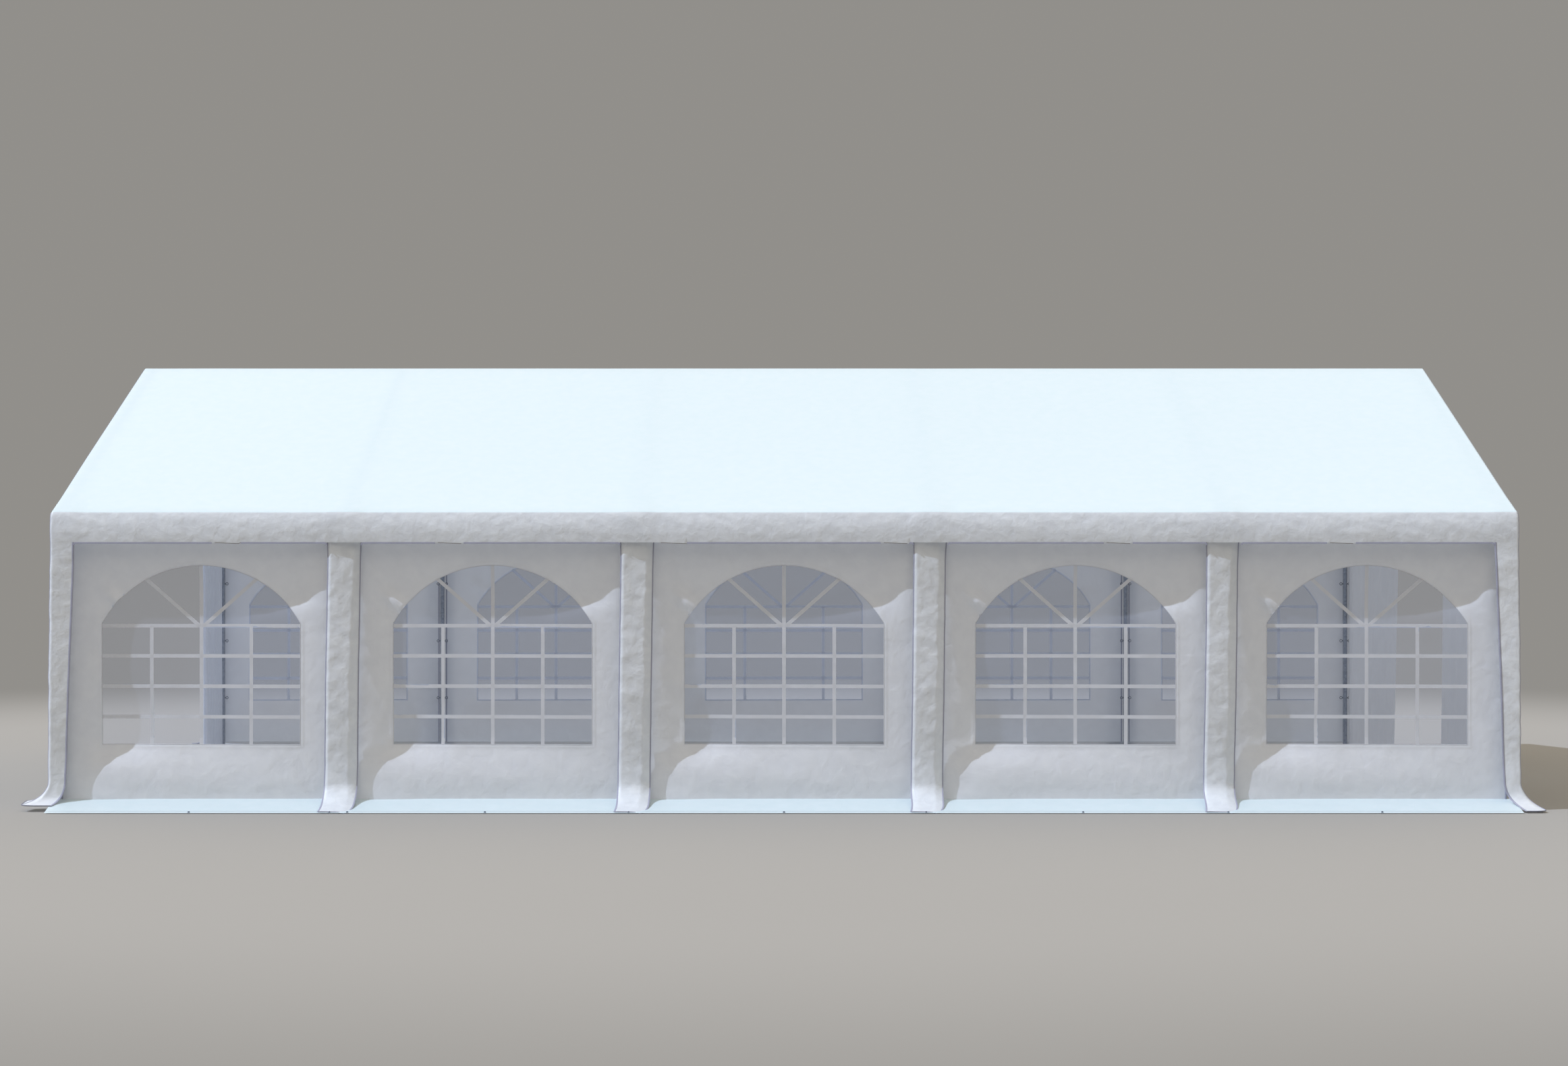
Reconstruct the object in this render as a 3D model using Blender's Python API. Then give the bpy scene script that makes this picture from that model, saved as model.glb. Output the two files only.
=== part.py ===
"""A marquee tent: a steel tube frame with gabled roof covers, leg covers, walls with arched
windows, ground flaps and parted end curtains.

Metres, +Z up. X runs along the tent, Y across it, and the floor is at Z = 0 under its middle.
"""

import math

import bmesh
import bpy
from mathutils import Vector

# Overall form
BAY = 2.0
BAYS = 5
WIDTH = 6.0
RIDGE_HEIGHT = 3.19
EAVE_HEIGHT = 2.035
VALANCE_DEPTH = 0.203
EAVE_RADIUS = 0.035
EAVE_STEPS = 4

# Cloth and clearances
CLOTH = 0.005
FILM = 0.002
GAP = 0.0003
VALANCE_CLEAR = 0.015
GABLE_CLEAR = 0.003
WALL_SETBACK = 0.115

# Steel tube frame
TUBE_RADIUS = 0.019
SLEEVE_WALL = 0.005
SLEEVE_HALF = 0.045
SOCKET_LENGTH = 0.10
TUBE_SIDES = 12
FOOT_SIDE = 0.09
FOOT_THICKNESS = 0.006
END_RAIL_DROP = 0.06

# Walls and windows
WALL_TOP_CLEAR = 0.01
WALL_BASE = 0.072
WINDOW_WIDTH = 1.368
WINDOW_SILL = 0.445
WINDOW_SPRING = 1.278
WINDOW_RISE = 0.396
ARCH_STEPS = 12
FILM_LAP = 0.06

# Ground flaps along the feet of the walls
FLAP_REACH = 0.315
FLAP_OVERHANG = 0.01

# Leg covers
COVER_WIDTH = 0.223
COVER_REACH = 0.195
FLARE_TOP = 0.17
FLARE_KNEE = 0.085
FLARE_STEPS = 5
CORNER_TOP_WIDTH = 0.150
CORNER_LOW_WIDTH = 0.102
CORNER_FOOT_WIDTH = 0.215
CORNER_SPLAY = 0.018
CORNER_ROUND = 0.02
CORNER_STEPS = 3

# End curtains: where each one's free edge is at its top and at its foot
CURTAIN_FOOT = 0.02
RIGHT_FRONT_EDGE = (0.95, 0.83)
RIGHT_BACK_EDGE = (0.74, 0.95)
LEFT_FRONT_EDGE = (1.92, 1.98)
LEFT_BACK_EDGE = (1.92, 1.98)

# Worked out from the sizes above
LENGTH = BAY * BAYS
SLOPE = math.atan2(RIDGE_HEIGHT - EAVE_HEIGHT, WIDTH / 2)
SLEEVE_RADIUS = TUBE_RADIUS + GAP + SLEEVE_WALL
ROOF_X = LENGTH / 2
ROOF_Y = WIDTH / 2
VALANCE_FOOT = EAVE_HEIGHT - VALANCE_DEPTH
COVER_Y = ROOF_Y - CLOTH - VALANCE_CLEAR
COVER_X = ROOF_X - CLOTH - GABLE_CLEAR
RAIL_Y = COVER_Y - CLOTH - GAP - SLEEVE_RADIUS
END_X = COVER_X - CORNER_ROUND - SLEEVE_HALF
WALL_Y = ROOF_Y - WALL_SETBACK
POST_Y = WALL_Y - CLOTH - GAP - FILM - GAP - TUBE_RADIUS
RIDGE_AXIS = RIDGE_HEIGHT - (CLOTH + GAP + SLEEVE_RADIUS) / math.cos(SLOPE)


def axis_height(y):
    """The height of a rafter's axis at a distance y from the middle of the tent."""
    return RIDGE_AXIS - abs(y) * math.tan(SLOPE)


SOCKET_FOOT = axis_height(POST_Y) - SOCKET_LENGTH
WALL_TOP = SOCKET_FOOT - WALL_TOP_CLEAR
END_RAIL_HEIGHT = SOCKET_FOOT - END_RAIL_DROP
FLAP_TIP_Y = WALL_Y + FLAP_REACH
COVER_TIP_Y = COVER_Y + COVER_REACH
COVER_TOP = axis_height(RAIL_Y)
POST_XS = (
    [-END_X]
    + [-LENGTH / 2 + BAY * bay for bay in range(1, BAYS)]
    + [END_X]
)
WINDOW_XS = [BAY * (bay - (BAYS - 1) / 2) for bay in range(BAYS)]


def flap_top(y):
    """The height of the ground flap's upper face at a distance y from the middle."""
    share = (FLAP_TIP_Y - y) / FLAP_REACH
    return CLOTH + share * (WALL_BASE - CLOTH)


# Shapes


def clear_scene():
    for item in list(bpy.data.objects):
        bpy.data.objects.remove(item, do_unlink=True)


def principled(name, colour, roughness, metallic=0.0, alpha=1.0):
    material = bpy.data.materials.new(name)
    material.use_nodes = True
    shader = material.node_tree.nodes["Principled BSDF"]
    shader.inputs["Base Color"].default_value = (*colour, 1.0)
    shader.inputs["Roughness"].default_value = roughness
    shader.inputs["Metallic"].default_value = metallic
    shader.inputs["Alpha"].default_value = alpha
    return material


def add_object(name, mesh_builder, material=None, smooth=False):
    """A new object from a bmesh, with its faces turned outward."""
    bmesh.ops.recalc_face_normals(mesh_builder, faces=mesh_builder.faces)
    mesh = bpy.data.meshes.new(name)
    mesh_builder.to_mesh(mesh)
    mesh_builder.free()
    item = bpy.data.objects.new(name, mesh)
    bpy.context.collection.objects.link(item)
    if material is not None:
        mesh.materials.append(material)
    if smooth:
        mesh.shade_smooth()
        mesh.set_sharp_from_angle(angle=math.radians(35))
    return item


def loft(name, rings, material, smooth=False):
    """A closed body through rings of points, each ring with as many points as the next."""
    shape = bmesh.new()
    rows = [[shape.verts.new(point) for point in ring] for ring in rings]
    count = len(rows[0])
    for lower, upper in zip(rows, rows[1:]):
        for k in range(count):
            after = (k + 1) % count
            shape.faces.new((lower[k], lower[after], upper[after], upper[k]))
    shape.faces.new(rows[0])
    shape.faces.new(rows[-1])
    return add_object(name, shape, material, smooth)


def prism(name, outline, along, start, end, material, smooth=False):
    """An outline in the plane square to the axis named along, drawn out from start to end."""

    def place(point, distance):
        if along == "X":
            return (distance, point[0], point[1])
        return (point[0], distance, point[1])

    rings = [[place(point, distance) for point in outline] for distance in (start, end)]
    return loft(name, rings, material, smooth)


def tube(name, start, end, radius, material=None):
    """A closed cylinder between two points."""
    start, end = Vector(start), Vector(end)
    along = end - start
    matrix = along.to_track_quat("Z", "X").to_matrix().to_4x4()
    matrix.translation = (start + end) / 2
    shape = bmesh.new()
    bmesh.ops.create_cone(
        shape,
        cap_ends=True,
        segments=TUBE_SIDES,
        radius1=radius,
        radius2=radius,
        depth=along.length,
        matrix=matrix,
    )
    return add_object(name, shape, material, smooth=True)


def combine(item, tool, operation):
    """Joins a hidden tool to an object, or cuts it away."""
    tool.hide_render = True
    tool.display_type = "WIRE"
    change = item.modifiers.new(operation.capitalize(), "BOOLEAN")
    change.operation = operation
    change.object = tool


def mirrored(points):
    """The same outline on the other side of the tent."""
    return [(-y, z) for y, z in points]


# Steel frame


def make_posts(steel):
    """Six posts on each side, each standing on a square foot plate."""
    top = SOCKET_FOOT - GAP
    half = FOOT_SIDE / 2
    square = [(-half, -half), (half, -half), (half, half), (-half, half)]
    plate = loft(
        "foot_plate_tool",
        [[(x, y, z) for x, y in square] for z in (0.0, FOOT_THICKNESS)],
        None,
    )
    model = tube("post_tool", (0, 0, FOOT_THICKNESS / 2), (0, 0, top), TUBE_RADIUS, steel)
    combine(model, plate, "UNION")
    bpy.context.view_layer.update()
    joined = bpy.data.meshes.new_from_object(
        model.evaluated_get(bpy.context.evaluated_depsgraph_get())
    )
    for tool in (model, plate):
        bpy.data.objects.remove(tool, do_unlink=True)
    for side, sign in (("front", -1), ("back", 1)):
        for number, x in enumerate(POST_XS, start=1):
            post = bpy.data.objects.new(f"{side}_post_{number}", joined)
            post.location = (x, sign * POST_Y, 0)
            bpy.context.collection.objects.link(post)


def rail_paths():
    """The ends of the three long rails."""
    reach = END_X + SLEEVE_HALF
    places = {
        "eave_rail_front": (-RAIL_Y, axis_height(RAIL_Y)),
        "eave_rail_back": (RAIL_Y, axis_height(RAIL_Y)),
        "ridge_rail": (0.0, RIDGE_AXIS),
    }
    return {name: ((-reach, y, z), (reach, y, z)) for name, (y, z) in places.items()}


def make_rails(steel):
    for name, (start, end) in rail_paths().items():
        tube(name, start, end, TUBE_RADIUS, steel)
    reach = POST_Y - TUBE_RADIUS - GAP
    for side, x in (("left", -END_X), ("right", END_X)):
        tube(
            f"end_rail_{side}",
            (x, -reach, END_RAIL_HEIGHT),
            (x, reach, END_RAIL_HEIGHT),
            TUBE_RADIUS,
            steel,
        )


def make_rafter_pairs(steel):
    """Two rafters with sleeves for the three rails and sockets for the two posts."""
    ridge = (0, 0, RIDGE_AXIS)
    model = tube(
        "rafter_tool", (-SLEEVE_HALF, 0, RIDGE_AXIS), (SLEEVE_HALF, 0, RIDGE_AXIS),
        SLEEVE_RADIUS, steel,
    )
    tools = []
    for sign in (-1, 1):
        eave = (0, sign * RAIL_Y, axis_height(RAIL_Y))
        socket_top = (0, sign * POST_Y, axis_height(POST_Y))
        socket_foot = (0, sign * POST_Y, SOCKET_FOOT)
        joins = (
            (ridge, eave, TUBE_RADIUS),
            ((-SLEEVE_HALF, eave[1], eave[2]), (SLEEVE_HALF, eave[1], eave[2]), SLEEVE_RADIUS),
            (socket_top, socket_foot, SLEEVE_RADIUS),
        )
        for start, end, radius in joins:
            tool = tube("join_tool", start, end, radius)
            combine(model, tool, "UNION")
            tools.append(tool)
    for start, end in rail_paths().values():
        tool = tube("bore_tool", start, end, TUBE_RADIUS + GAP)
        combine(model, tool, "DIFFERENCE")
        tools.append(tool)
    bpy.context.view_layer.update()
    joined = bpy.data.meshes.new_from_object(
        model.evaluated_get(bpy.context.evaluated_depsgraph_get())
    )
    for tool in [model, *tools]:
        bpy.data.objects.remove(tool, do_unlink=True)
    for number, x in enumerate(POST_XS, start=1):
        pair = bpy.data.objects.new(f"rafter_pair_{number}", joined)
        pair.location = (x, 0, 0)
        bpy.context.collection.objects.link(pair)


# Roof covers with their valances, and the gable panels


def roof_line(inset):
    """The section of one half of the roof from its ridge to the foot of its valance.

    The line lies a given distance inside the outer face and turns the eave in an arc."""
    slope, eave_y = SLOPE, ROOF_Y - inset
    ridge_z = RIDGE_HEIGHT - inset / math.cos(slope)
    radius = EAVE_RADIUS - inset
    turn = math.pi / 2 - slope
    corner_z = ridge_z - eave_y * math.tan(slope)
    back = radius * math.tan(turn / 2)
    centre = (eave_y - radius, corner_z - back)
    points = [(GAP / 2, ridge_z - GAP / 2 * math.tan(slope))]
    for step in range(EAVE_STEPS + 1):
        angle = math.pi / 2 - slope - turn * step / EAVE_STEPS
        points.append(
            (centre[0] + radius * math.cos(angle), centre[1] + radius * math.sin(angle))
        )
    points.append((eave_y, VALANCE_FOOT))
    return points


def make_roof(cover_cloth):
    """Each cover is one cloth: its slope, the turned eave and the hanging valance."""
    section = roof_line(0.0) + roof_line(CLOTH)[::-1]
    for side, outline in (("back", section), ("front", mirrored(section))):
        prism(
            f"roof_cover_{side}", outline, "X", -ROOF_X, ROOF_X, cover_cloth, smooth=True
        )


def make_gables(cover_cloth):
    """A panel under each end of the roof, from the ridge to the foot of the valances."""
    half = roof_line(CLOTH + GAP)[1:]
    ridge = (0.0, RIDGE_HEIGHT - (CLOTH + GAP) / math.cos(SLOPE))
    outline = [ridge, *half, *mirrored(half)[::-1]]
    for side, sign in (("left", -1), ("right", 1)):
        prism(
            f"gable_panel_{side}",
            outline,
            "X",
            sign * (ROOF_X - CLOTH),
            sign * ROOF_X,
            cover_cloth,
        )


# Leg covers


def flare_steps():
    """How far a cover stands out, and how high, down its flare to its foot."""
    foot = flap_top(COVER_TIP_Y - CLOTH) + GAP
    steps = []
    for step in range(FLARE_STEPS + 1):
        t = step / FLARE_STEPS
        out = t * t * COVER_REACH
        height = (1 - t) ** 2 * FLARE_TOP + 2 * t * (1 - t) * FLARE_KNEE + t * t * foot
        steps.append((out, height))
    return steps


def make_leg_covers(cover_cloth):
    """A strip over each inner post, which flares out over the ground flap at its foot."""
    levels = [(0.0, COVER_TOP), *flare_steps()]
    half = COVER_WIDTH / 2
    for side, sign in (("front", -1), ("back", 1)):
        for number, x in list(enumerate(POST_XS, start=1))[1:-1]:
            rings = []
            for out, height in levels:
                outer, inner = sign * (COVER_Y + out), sign * (COVER_Y + out - CLOTH)
                rings.append(
                    [
                        (x - half, outer, height),
                        (x + half, outer, height),
                        (x + half, inner, height),
                        (x - half, inner, height),
                    ]
                )
            loft(f"{side}_leg_cover_{number}", rings, cover_cloth)


def corner_path(out_x, out_y, width, inset):
    """The plan of a corner cover in one quadrant: a leg, the rounded corner and a leg."""
    x, y = out_x - inset, out_y - inset
    radius = CORNER_ROUND - inset
    points = [(out_x - width, y)]
    for step in range(CORNER_STEPS + 1):
        angle = math.pi / 2 * (1 - step / CORNER_STEPS)
        points.append(
            (x - radius + radius * math.cos(angle), y - radius + radius * math.sin(angle))
        )
    points.append((x, out_y - width))
    return points


def make_corner_covers(cover_cloth):
    """An angle of cloth round each corner post, splayed a little and flared at its foot."""
    levels = [(0.0, 0.0, COVER_TOP, CORNER_TOP_WIDTH)]
    flare = flare_steps()
    for out, height in flare:
        share = out / flare[-1][0]
        width = CORNER_LOW_WIDTH + share * (CORNER_FOOT_WIDTH - CORNER_LOW_WIDTH)
        levels.append((CORNER_SPLAY + out, out, height, width))
    for side, sign_y in (("front", -1), ("back", 1)):
        for end, sign_x in (("left", -1), ("right", 1)):
            rings = []
            for out_x, out_y, height, width in levels:
                place = (COVER_X + out_x, COVER_Y + out_y, width)
                outline = corner_path(*place, 0.0) + corner_path(*place, CLOTH)[::-1]
                rings.append([(sign_x * x, sign_y * y, height) for x, y in outline])
            loft(f"corner_cover_{side}_{end}", rings, cover_cloth, smooth=True)


# Walls, windows, ground flaps and end curtains


def arch_outline(centre):
    """A window's opening: a straight sill and sides under a segment of a circle."""
    half = WINDOW_WIDTH / 2
    radius = (half * half + WINDOW_RISE * WINDOW_RISE) / (2 * WINDOW_RISE)
    hub = WINDOW_SPRING + WINDOW_RISE - radius
    reach = math.asin(half / radius)
    points = [(centre - half, WINDOW_SILL), (centre + half, WINDOW_SILL)]
    for step in range(ARCH_STEPS + 1):
        angle = reach * (1 - 2 * step / ARCH_STEPS)
        points.append((centre + radius * math.sin(angle), hub + radius * math.cos(angle)))
    return points


def make_walls(wall_cloth, film):
    """A wall along each side with five arched openings, and the clear film behind them."""
    reach = END_X + TUBE_RADIUS
    film_top = WINDOW_SPRING + WINDOW_RISE + FILM_LAP
    film_reach = WINDOW_XS[-1] + WINDOW_WIDTH / 2 + FILM_LAP
    for side, sign in (("front", -1), ("back", 1)):
        outer, inner = WALL_Y, WALL_Y - CLOTH
        outline = [(outer, WALL_BASE), (outer, WALL_TOP), (inner, WALL_TOP), (inner, WALL_BASE)]
        wall = prism(
            f"{side}_wall", [(sign * y, z) for y, z in outline], "X", -reach, reach, wall_cloth
        )
        for centre in WINDOW_XS:
            hole = prism(
                "window_tool",
                arch_outline(centre),
                "Y",
                sign * (inner - CLOTH),
                sign * (outer + CLOTH),
                None,
            )
            combine(wall, hole, "DIFFERENCE")
        face = inner - GAP
        outline = [
            (face, WINDOW_SILL - FILM_LAP),
            (face, film_top),
            (face - FILM, film_top),
            (face - FILM, WINDOW_SILL - FILM_LAP),
        ]
        prism(
            f"{side}_window_film",
            [(sign * y, z) for y, z in outline],
            "X",
            -film_reach,
            film_reach,
            film,
        )


def make_ground_flaps(wall_cloth):
    """A strip that slopes from the foot of each wall out onto the ground."""
    reach = ROOF_X + FLAP_OVERHANG
    root = WALL_BASE - GAP
    outline = [
        (WALL_Y - CLOTH, root),
        (WALL_Y, root),
        (FLAP_TIP_Y, CLOTH),
        (FLAP_TIP_Y, 0.0),
        (FLAP_TIP_Y - CLOTH, 0.0),
        (WALL_Y - CLOTH, root - CLOTH),
    ]
    for side, sign in (("front", -1), ("back", 1)):
        prism(
            f"ground_flap_{side}",
            [(sign * y, z) for y, z in outline],
            "X",
            -reach,
            reach,
            wall_cloth,
        )


def make_end_curtains(wall_cloth):
    """Four curtains hung outside the end rails and drawn back from the doorways."""
    face = END_X + TUBE_RADIUS + GAP
    top = END_RAIL_HEIGHT + TUBE_RADIUS
    corner = POST_Y + TUBE_RADIUS
    curtains = (
        ("left", "front", -1, -1, LEFT_FRONT_EDGE),
        ("left", "back", -1, 1, LEFT_BACK_EDGE),
        ("right", "front", 1, -1, RIGHT_FRONT_EDGE),
        ("right", "back", 1, 1, RIGHT_BACK_EDGE),
    )
    for end, side, sign_x, sign_y, (edge_top, edge_foot) in curtains:
        outline = [
            (sign_y * corner, CURTAIN_FOOT),
            (sign_y * edge_foot, CURTAIN_FOOT),
            (sign_y * edge_top, top),
            (sign_y * corner, top),
        ]
        prism(
            f"end_curtain_{end}_{side}",
            outline,
            "X",
            sign_x * face,
            sign_x * (face + CLOTH),
            wall_cloth,
        )


def main():
    clear_scene()
    steel = principled("galvanised_steel", (0.36, 0.40, 0.46), 0.45, metallic=1.0)
    roof_cloth = principled("roof_cloth", (0.80, 0.85, 0.90), 0.42)
    cover_cloth = principled("leg_cover_cloth", (0.76, 0.80, 0.86), 0.45)
    wall_cloth = principled("wall_cloth", (0.66, 0.69, 0.74), 0.48)
    film = principled("clear_film", (0.78, 0.82, 0.86), 0.08, alpha=0.35)
    make_posts(steel)
    make_rails(steel)
    make_rafter_pairs(steel)
    make_roof(roof_cloth)
    make_gables(roof_cloth)
    make_leg_covers(cover_cloth)
    make_corner_covers(cover_cloth)
    make_walls(wall_cloth, film)
    make_ground_flaps(wall_cloth)
    make_end_curtains(wall_cloth)


main()
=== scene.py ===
"""The looks of a marquee tent: white coated cloths over a galvanised steel tube frame.

Metres, +Z up. X runs along the tent, Y across it, and its front faces -Y.
"""

import logging
import math
from dataclasses import dataclass, replace
from enum import Enum
from functools import cached_property, partial
from itertools import groupby
from typing import Any, Callable, Sequence

import bpy
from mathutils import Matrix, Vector, noise


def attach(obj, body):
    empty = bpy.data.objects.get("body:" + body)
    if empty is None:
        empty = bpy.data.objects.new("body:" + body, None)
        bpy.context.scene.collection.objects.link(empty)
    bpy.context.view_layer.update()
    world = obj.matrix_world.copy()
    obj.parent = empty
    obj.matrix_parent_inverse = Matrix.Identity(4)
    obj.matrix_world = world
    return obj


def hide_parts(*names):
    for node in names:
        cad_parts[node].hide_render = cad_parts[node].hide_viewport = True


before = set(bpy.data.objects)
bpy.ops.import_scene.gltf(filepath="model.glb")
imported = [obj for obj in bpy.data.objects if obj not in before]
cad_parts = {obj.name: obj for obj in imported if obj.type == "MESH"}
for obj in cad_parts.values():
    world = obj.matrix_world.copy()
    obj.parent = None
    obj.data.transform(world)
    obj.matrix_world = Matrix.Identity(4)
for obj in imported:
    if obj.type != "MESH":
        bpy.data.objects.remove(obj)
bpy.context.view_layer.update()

BODY = "root"
MM = 0.001
ALONG, ACROSS, UP = Vector((1, 0, 0)), Vector((0, 1, 0)), Vector((0, 0, 1))
# A pair of coordinates, and the two ends of a stretch.
Pair = Span = tuple[float, float]
# The node-adding function, bound to one material's nodes.
Adder = Callable[..., bpy.types.Node]


class Labelled(Enum):
    """An option that the names of pieces hold."""

    @property
    def label(self) -> str:
        """The option's name in the names of pieces."""
        return self.name.lower()


class Side(Labelled):
    """The tent's two long sides. The value is the sign of Y."""

    FRONT = -1
    BACK = 1


class End(Labelled):
    """The tent's two ends. The value is the sign of X."""

    LEFT = -1
    RIGHT = 1


class Slot(Enum):
    """The record's material slots."""

    ROOF = "roof_cloth"
    COVER = "leg_cover_cloth"
    WALL = "wall_cloth"
    FILM = "clear_film"
    STEEL = "galvanised_steel"


class Held(Enum):
    """How a sheet of cloth is held."""

    STRETCHED = "stretched"
    HUNG = "hung"
    GATHERED = "gathered"
    LAID = "laid"


@dataclass(frozen=True)
class TentSizes:
    """The tent's sizes in metres, the same as in its CAD."""

    bay: float = 2.0
    bays: int = 5
    half_length: float = 5.0
    half_width: float = 3.0
    ridge: float = 3.19
    eave: float = 2.035
    ridge_radius: float = 0.03
    end_radius: float = 0.020
    end_swells: Span = (0.004, 0.008)
    corner_cover: float = 0.158
    valance_foot: float = 1.832
    cover_y: float = 2.98
    cover_top: float = 2.023
    wall_y: float = 2.885
    wall_top: float = 1.948
    wall_foot: float = 0.072
    post_y: float = 2.8584
    end_post_x: float = 4.927
    tube_radius: float = 0.019
    flap_reach: float = 0.315
    end_rail: float = 1.898
    cloth: float = 0.005

    @property
    def slope(self) -> float:
        """The roof's slope in radians."""
        return math.atan2(self.ridge - self.eave, self.half_width)

    def swell(self, x: float) -> float:
        """How far the hanging cloth stands out past the roof's end on x's side."""
        return self.end_swells[0] if x < 0 else self.end_swells[1]

    @property
    def post_xs(self) -> list[float]:
        """Where the posts and rafters stand along the tent."""
        inner = [-self.half_length + self.bay * k for k in range(1, self.bays)]
        return [-self.end_post_x, *inner, self.end_post_x]

    @property
    def window_xs(self) -> list[float]:
        """The middles of the bays."""
        return [self.bay * (k - (self.bays - 1) / 2) for k in range(self.bays)]

    def flap_top(self, y: float) -> float:
        """The height of a ground flap's upper face at a distance y from the middle."""
        share = (self.wall_y + self.flap_reach - y) / self.flap_reach
        return self.cloth + share * (self.wall_foot - self.cloth)


TENT = TentSizes()


# Small maths


def ease(low: float, high: float, value: float) -> float:
    """A smooth step from 0 at low to 1 at high."""
    share = min(1.0, max(0.0, (value - low) / (high - low)))
    return share * share * (3 - 2 * share)


def within(rise: Span, fall: Span, value: float) -> float:
    """A smooth step from 0 up to 1 over the span rise and down again over the span fall."""
    return ease(*rise, value) * ease(*fall, value)


def between(start: float, end: float, share: float) -> float:
    """The value at a share of the way from start to end."""
    return start + share * (end - start)


def bend(start: float, pull: float, end: float, share: float) -> float:
    """The value on a curve that leaves start towards pull and comes in to end from there."""
    return (1 - share) ** 2 * start + 2 * share * (1 - share) * pull + share**2 * end


def swelling(value: float, middle: float, reach: float) -> float:
    """A smooth swelling: 1 at its middle, and next to nothing twice its reach away."""
    return math.exp(-(((value - middle) / reach) ** 2))


def spaced(start: float, end: float, step: float) -> list[float]:
    """Values from start to end, at most about step apart."""
    count = max(1, math.ceil(abs(end - start) / step - 1e-6))
    return [start + (end - start) * k / count for k in range(count + 1)]


def lumps(a: float, b: float, size: float, seed: float, stretch: float = 1.0) -> float:
    """Smooth noise over a cloth.

    Args:
        a: distance across the cloth.
        b: distance along the cloth.
        size: about how far apart its lumps are, in metres.
        seed: which noise.
        stretch: how much longer the lumps are across than along.

    Returns:
        A value from about -1 to 1.
    """
    return noise.noise(Vector((a / size / stretch + 7.3 * seed, b / size + 3.1 * seed, seed)))


def folds(a: float, b: float, size: float, seed: float, stretch: float = 1.0) -> float:
    """A net of soft fold lines over a cloth: 1 on a line, and near 0 between them."""
    return (1 - abs(lumps(a, b, size, seed, stretch))) ** 7


@dataclass(frozen=True)
class Wrinkles:
    """One layer of a cloth's unevenness: round lumps, or fold lines where it is folded.

    The lumps or lines are about size apart. The pattern leans: across by slant_a for each
    metre along, and along by slant_b for each metre across.
    """

    depth: float
    size: float
    seed: float = 0.0
    slant_a: float = 0.0
    slant_b: float = 0.0
    stretch: float = 1.0
    folded: bool = False

    def rise(self, a: float, b: float, seed: float) -> float:
        """How far the layer lifts the cloth at a distance a across it and b along it."""
        pattern = folds if self.folded else lumps
        a, b = a + self.slant_a * b, b + self.slant_b * a
        return self.depth * pattern(a, b, self.size, seed + self.seed, self.stretch)


def rumple(layers: Sequence[Wrinkles], a: float, b: float, seed: float) -> float:
    """How far all of a cloth's layers of wrinkles lift it at a distance a across and b along."""
    return sum(layer.rise(a, b, seed) for layer in layers)


# Finishes


def linear(colour: str) -> tuple[float, float, float, float]:
    """An sRGB hex colour as linear RGBA."""
    parts = [int(colour[k : k + 2], 16) / 255 for k in (1, 3, 5)]
    turned = [c / 12.92 if c <= 0.04045 else ((c + 0.055) / 1.055) ** 2.4 for c in parts]
    return (*turned, 1.0)


def add_node(
    tree: bpy.types.NodeTree,
    kind: str,
    settings: dict[str | int, Any] | None = None,
    links: dict[str | int, bpy.types.NodeSocket] | None = None,
) -> bpy.types.Node:
    """Adds one shader node.

    Args:
        tree: the material's nodes.
        kind: the node's type, without the words ShaderNode.
        settings: values for its properties and unlinked inputs.
        links: the outputs that its inputs are linked to.

    Returns:
        The new node.
    """
    node = tree.nodes.new("ShaderNode" + kind)
    for key, value in (settings or {}).items():
        if isinstance(key, str) and hasattr(node, key):
            setattr(node, key, value)
        else:
            node.inputs[key].default_value = value
    for key, output in (links or {}).items():
        tree.links.new(output, node.inputs[key])
    return node


def wave_scale(spacing: float) -> float:
    """The Wave texture's scale that puts its bands a distance apart, in metres."""
    return 2 * math.pi / (20 * spacing)


class Finish:
    """What all finishes share: a material that is made once."""

    name: str

    def shader(self, add: Adder) -> bpy.types.NodeSocket:
        """Adds the finish's nodes with add, and gives the output of its last shader."""
        raise NotImplementedError

    def material(self) -> bpy.types.Material:
        """The finish's material, new at its first use."""
        known = bpy.data.materials.get(self.name)
        if known:
            return known
        material = bpy.data.materials.new(self.name)
        material.use_nodes = True
        material.node_tree.nodes.clear()
        add = partial(add_node, material.node_tree)
        add("OutputMaterial", None, {"Surface": self.shader(add)})
        return material


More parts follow.
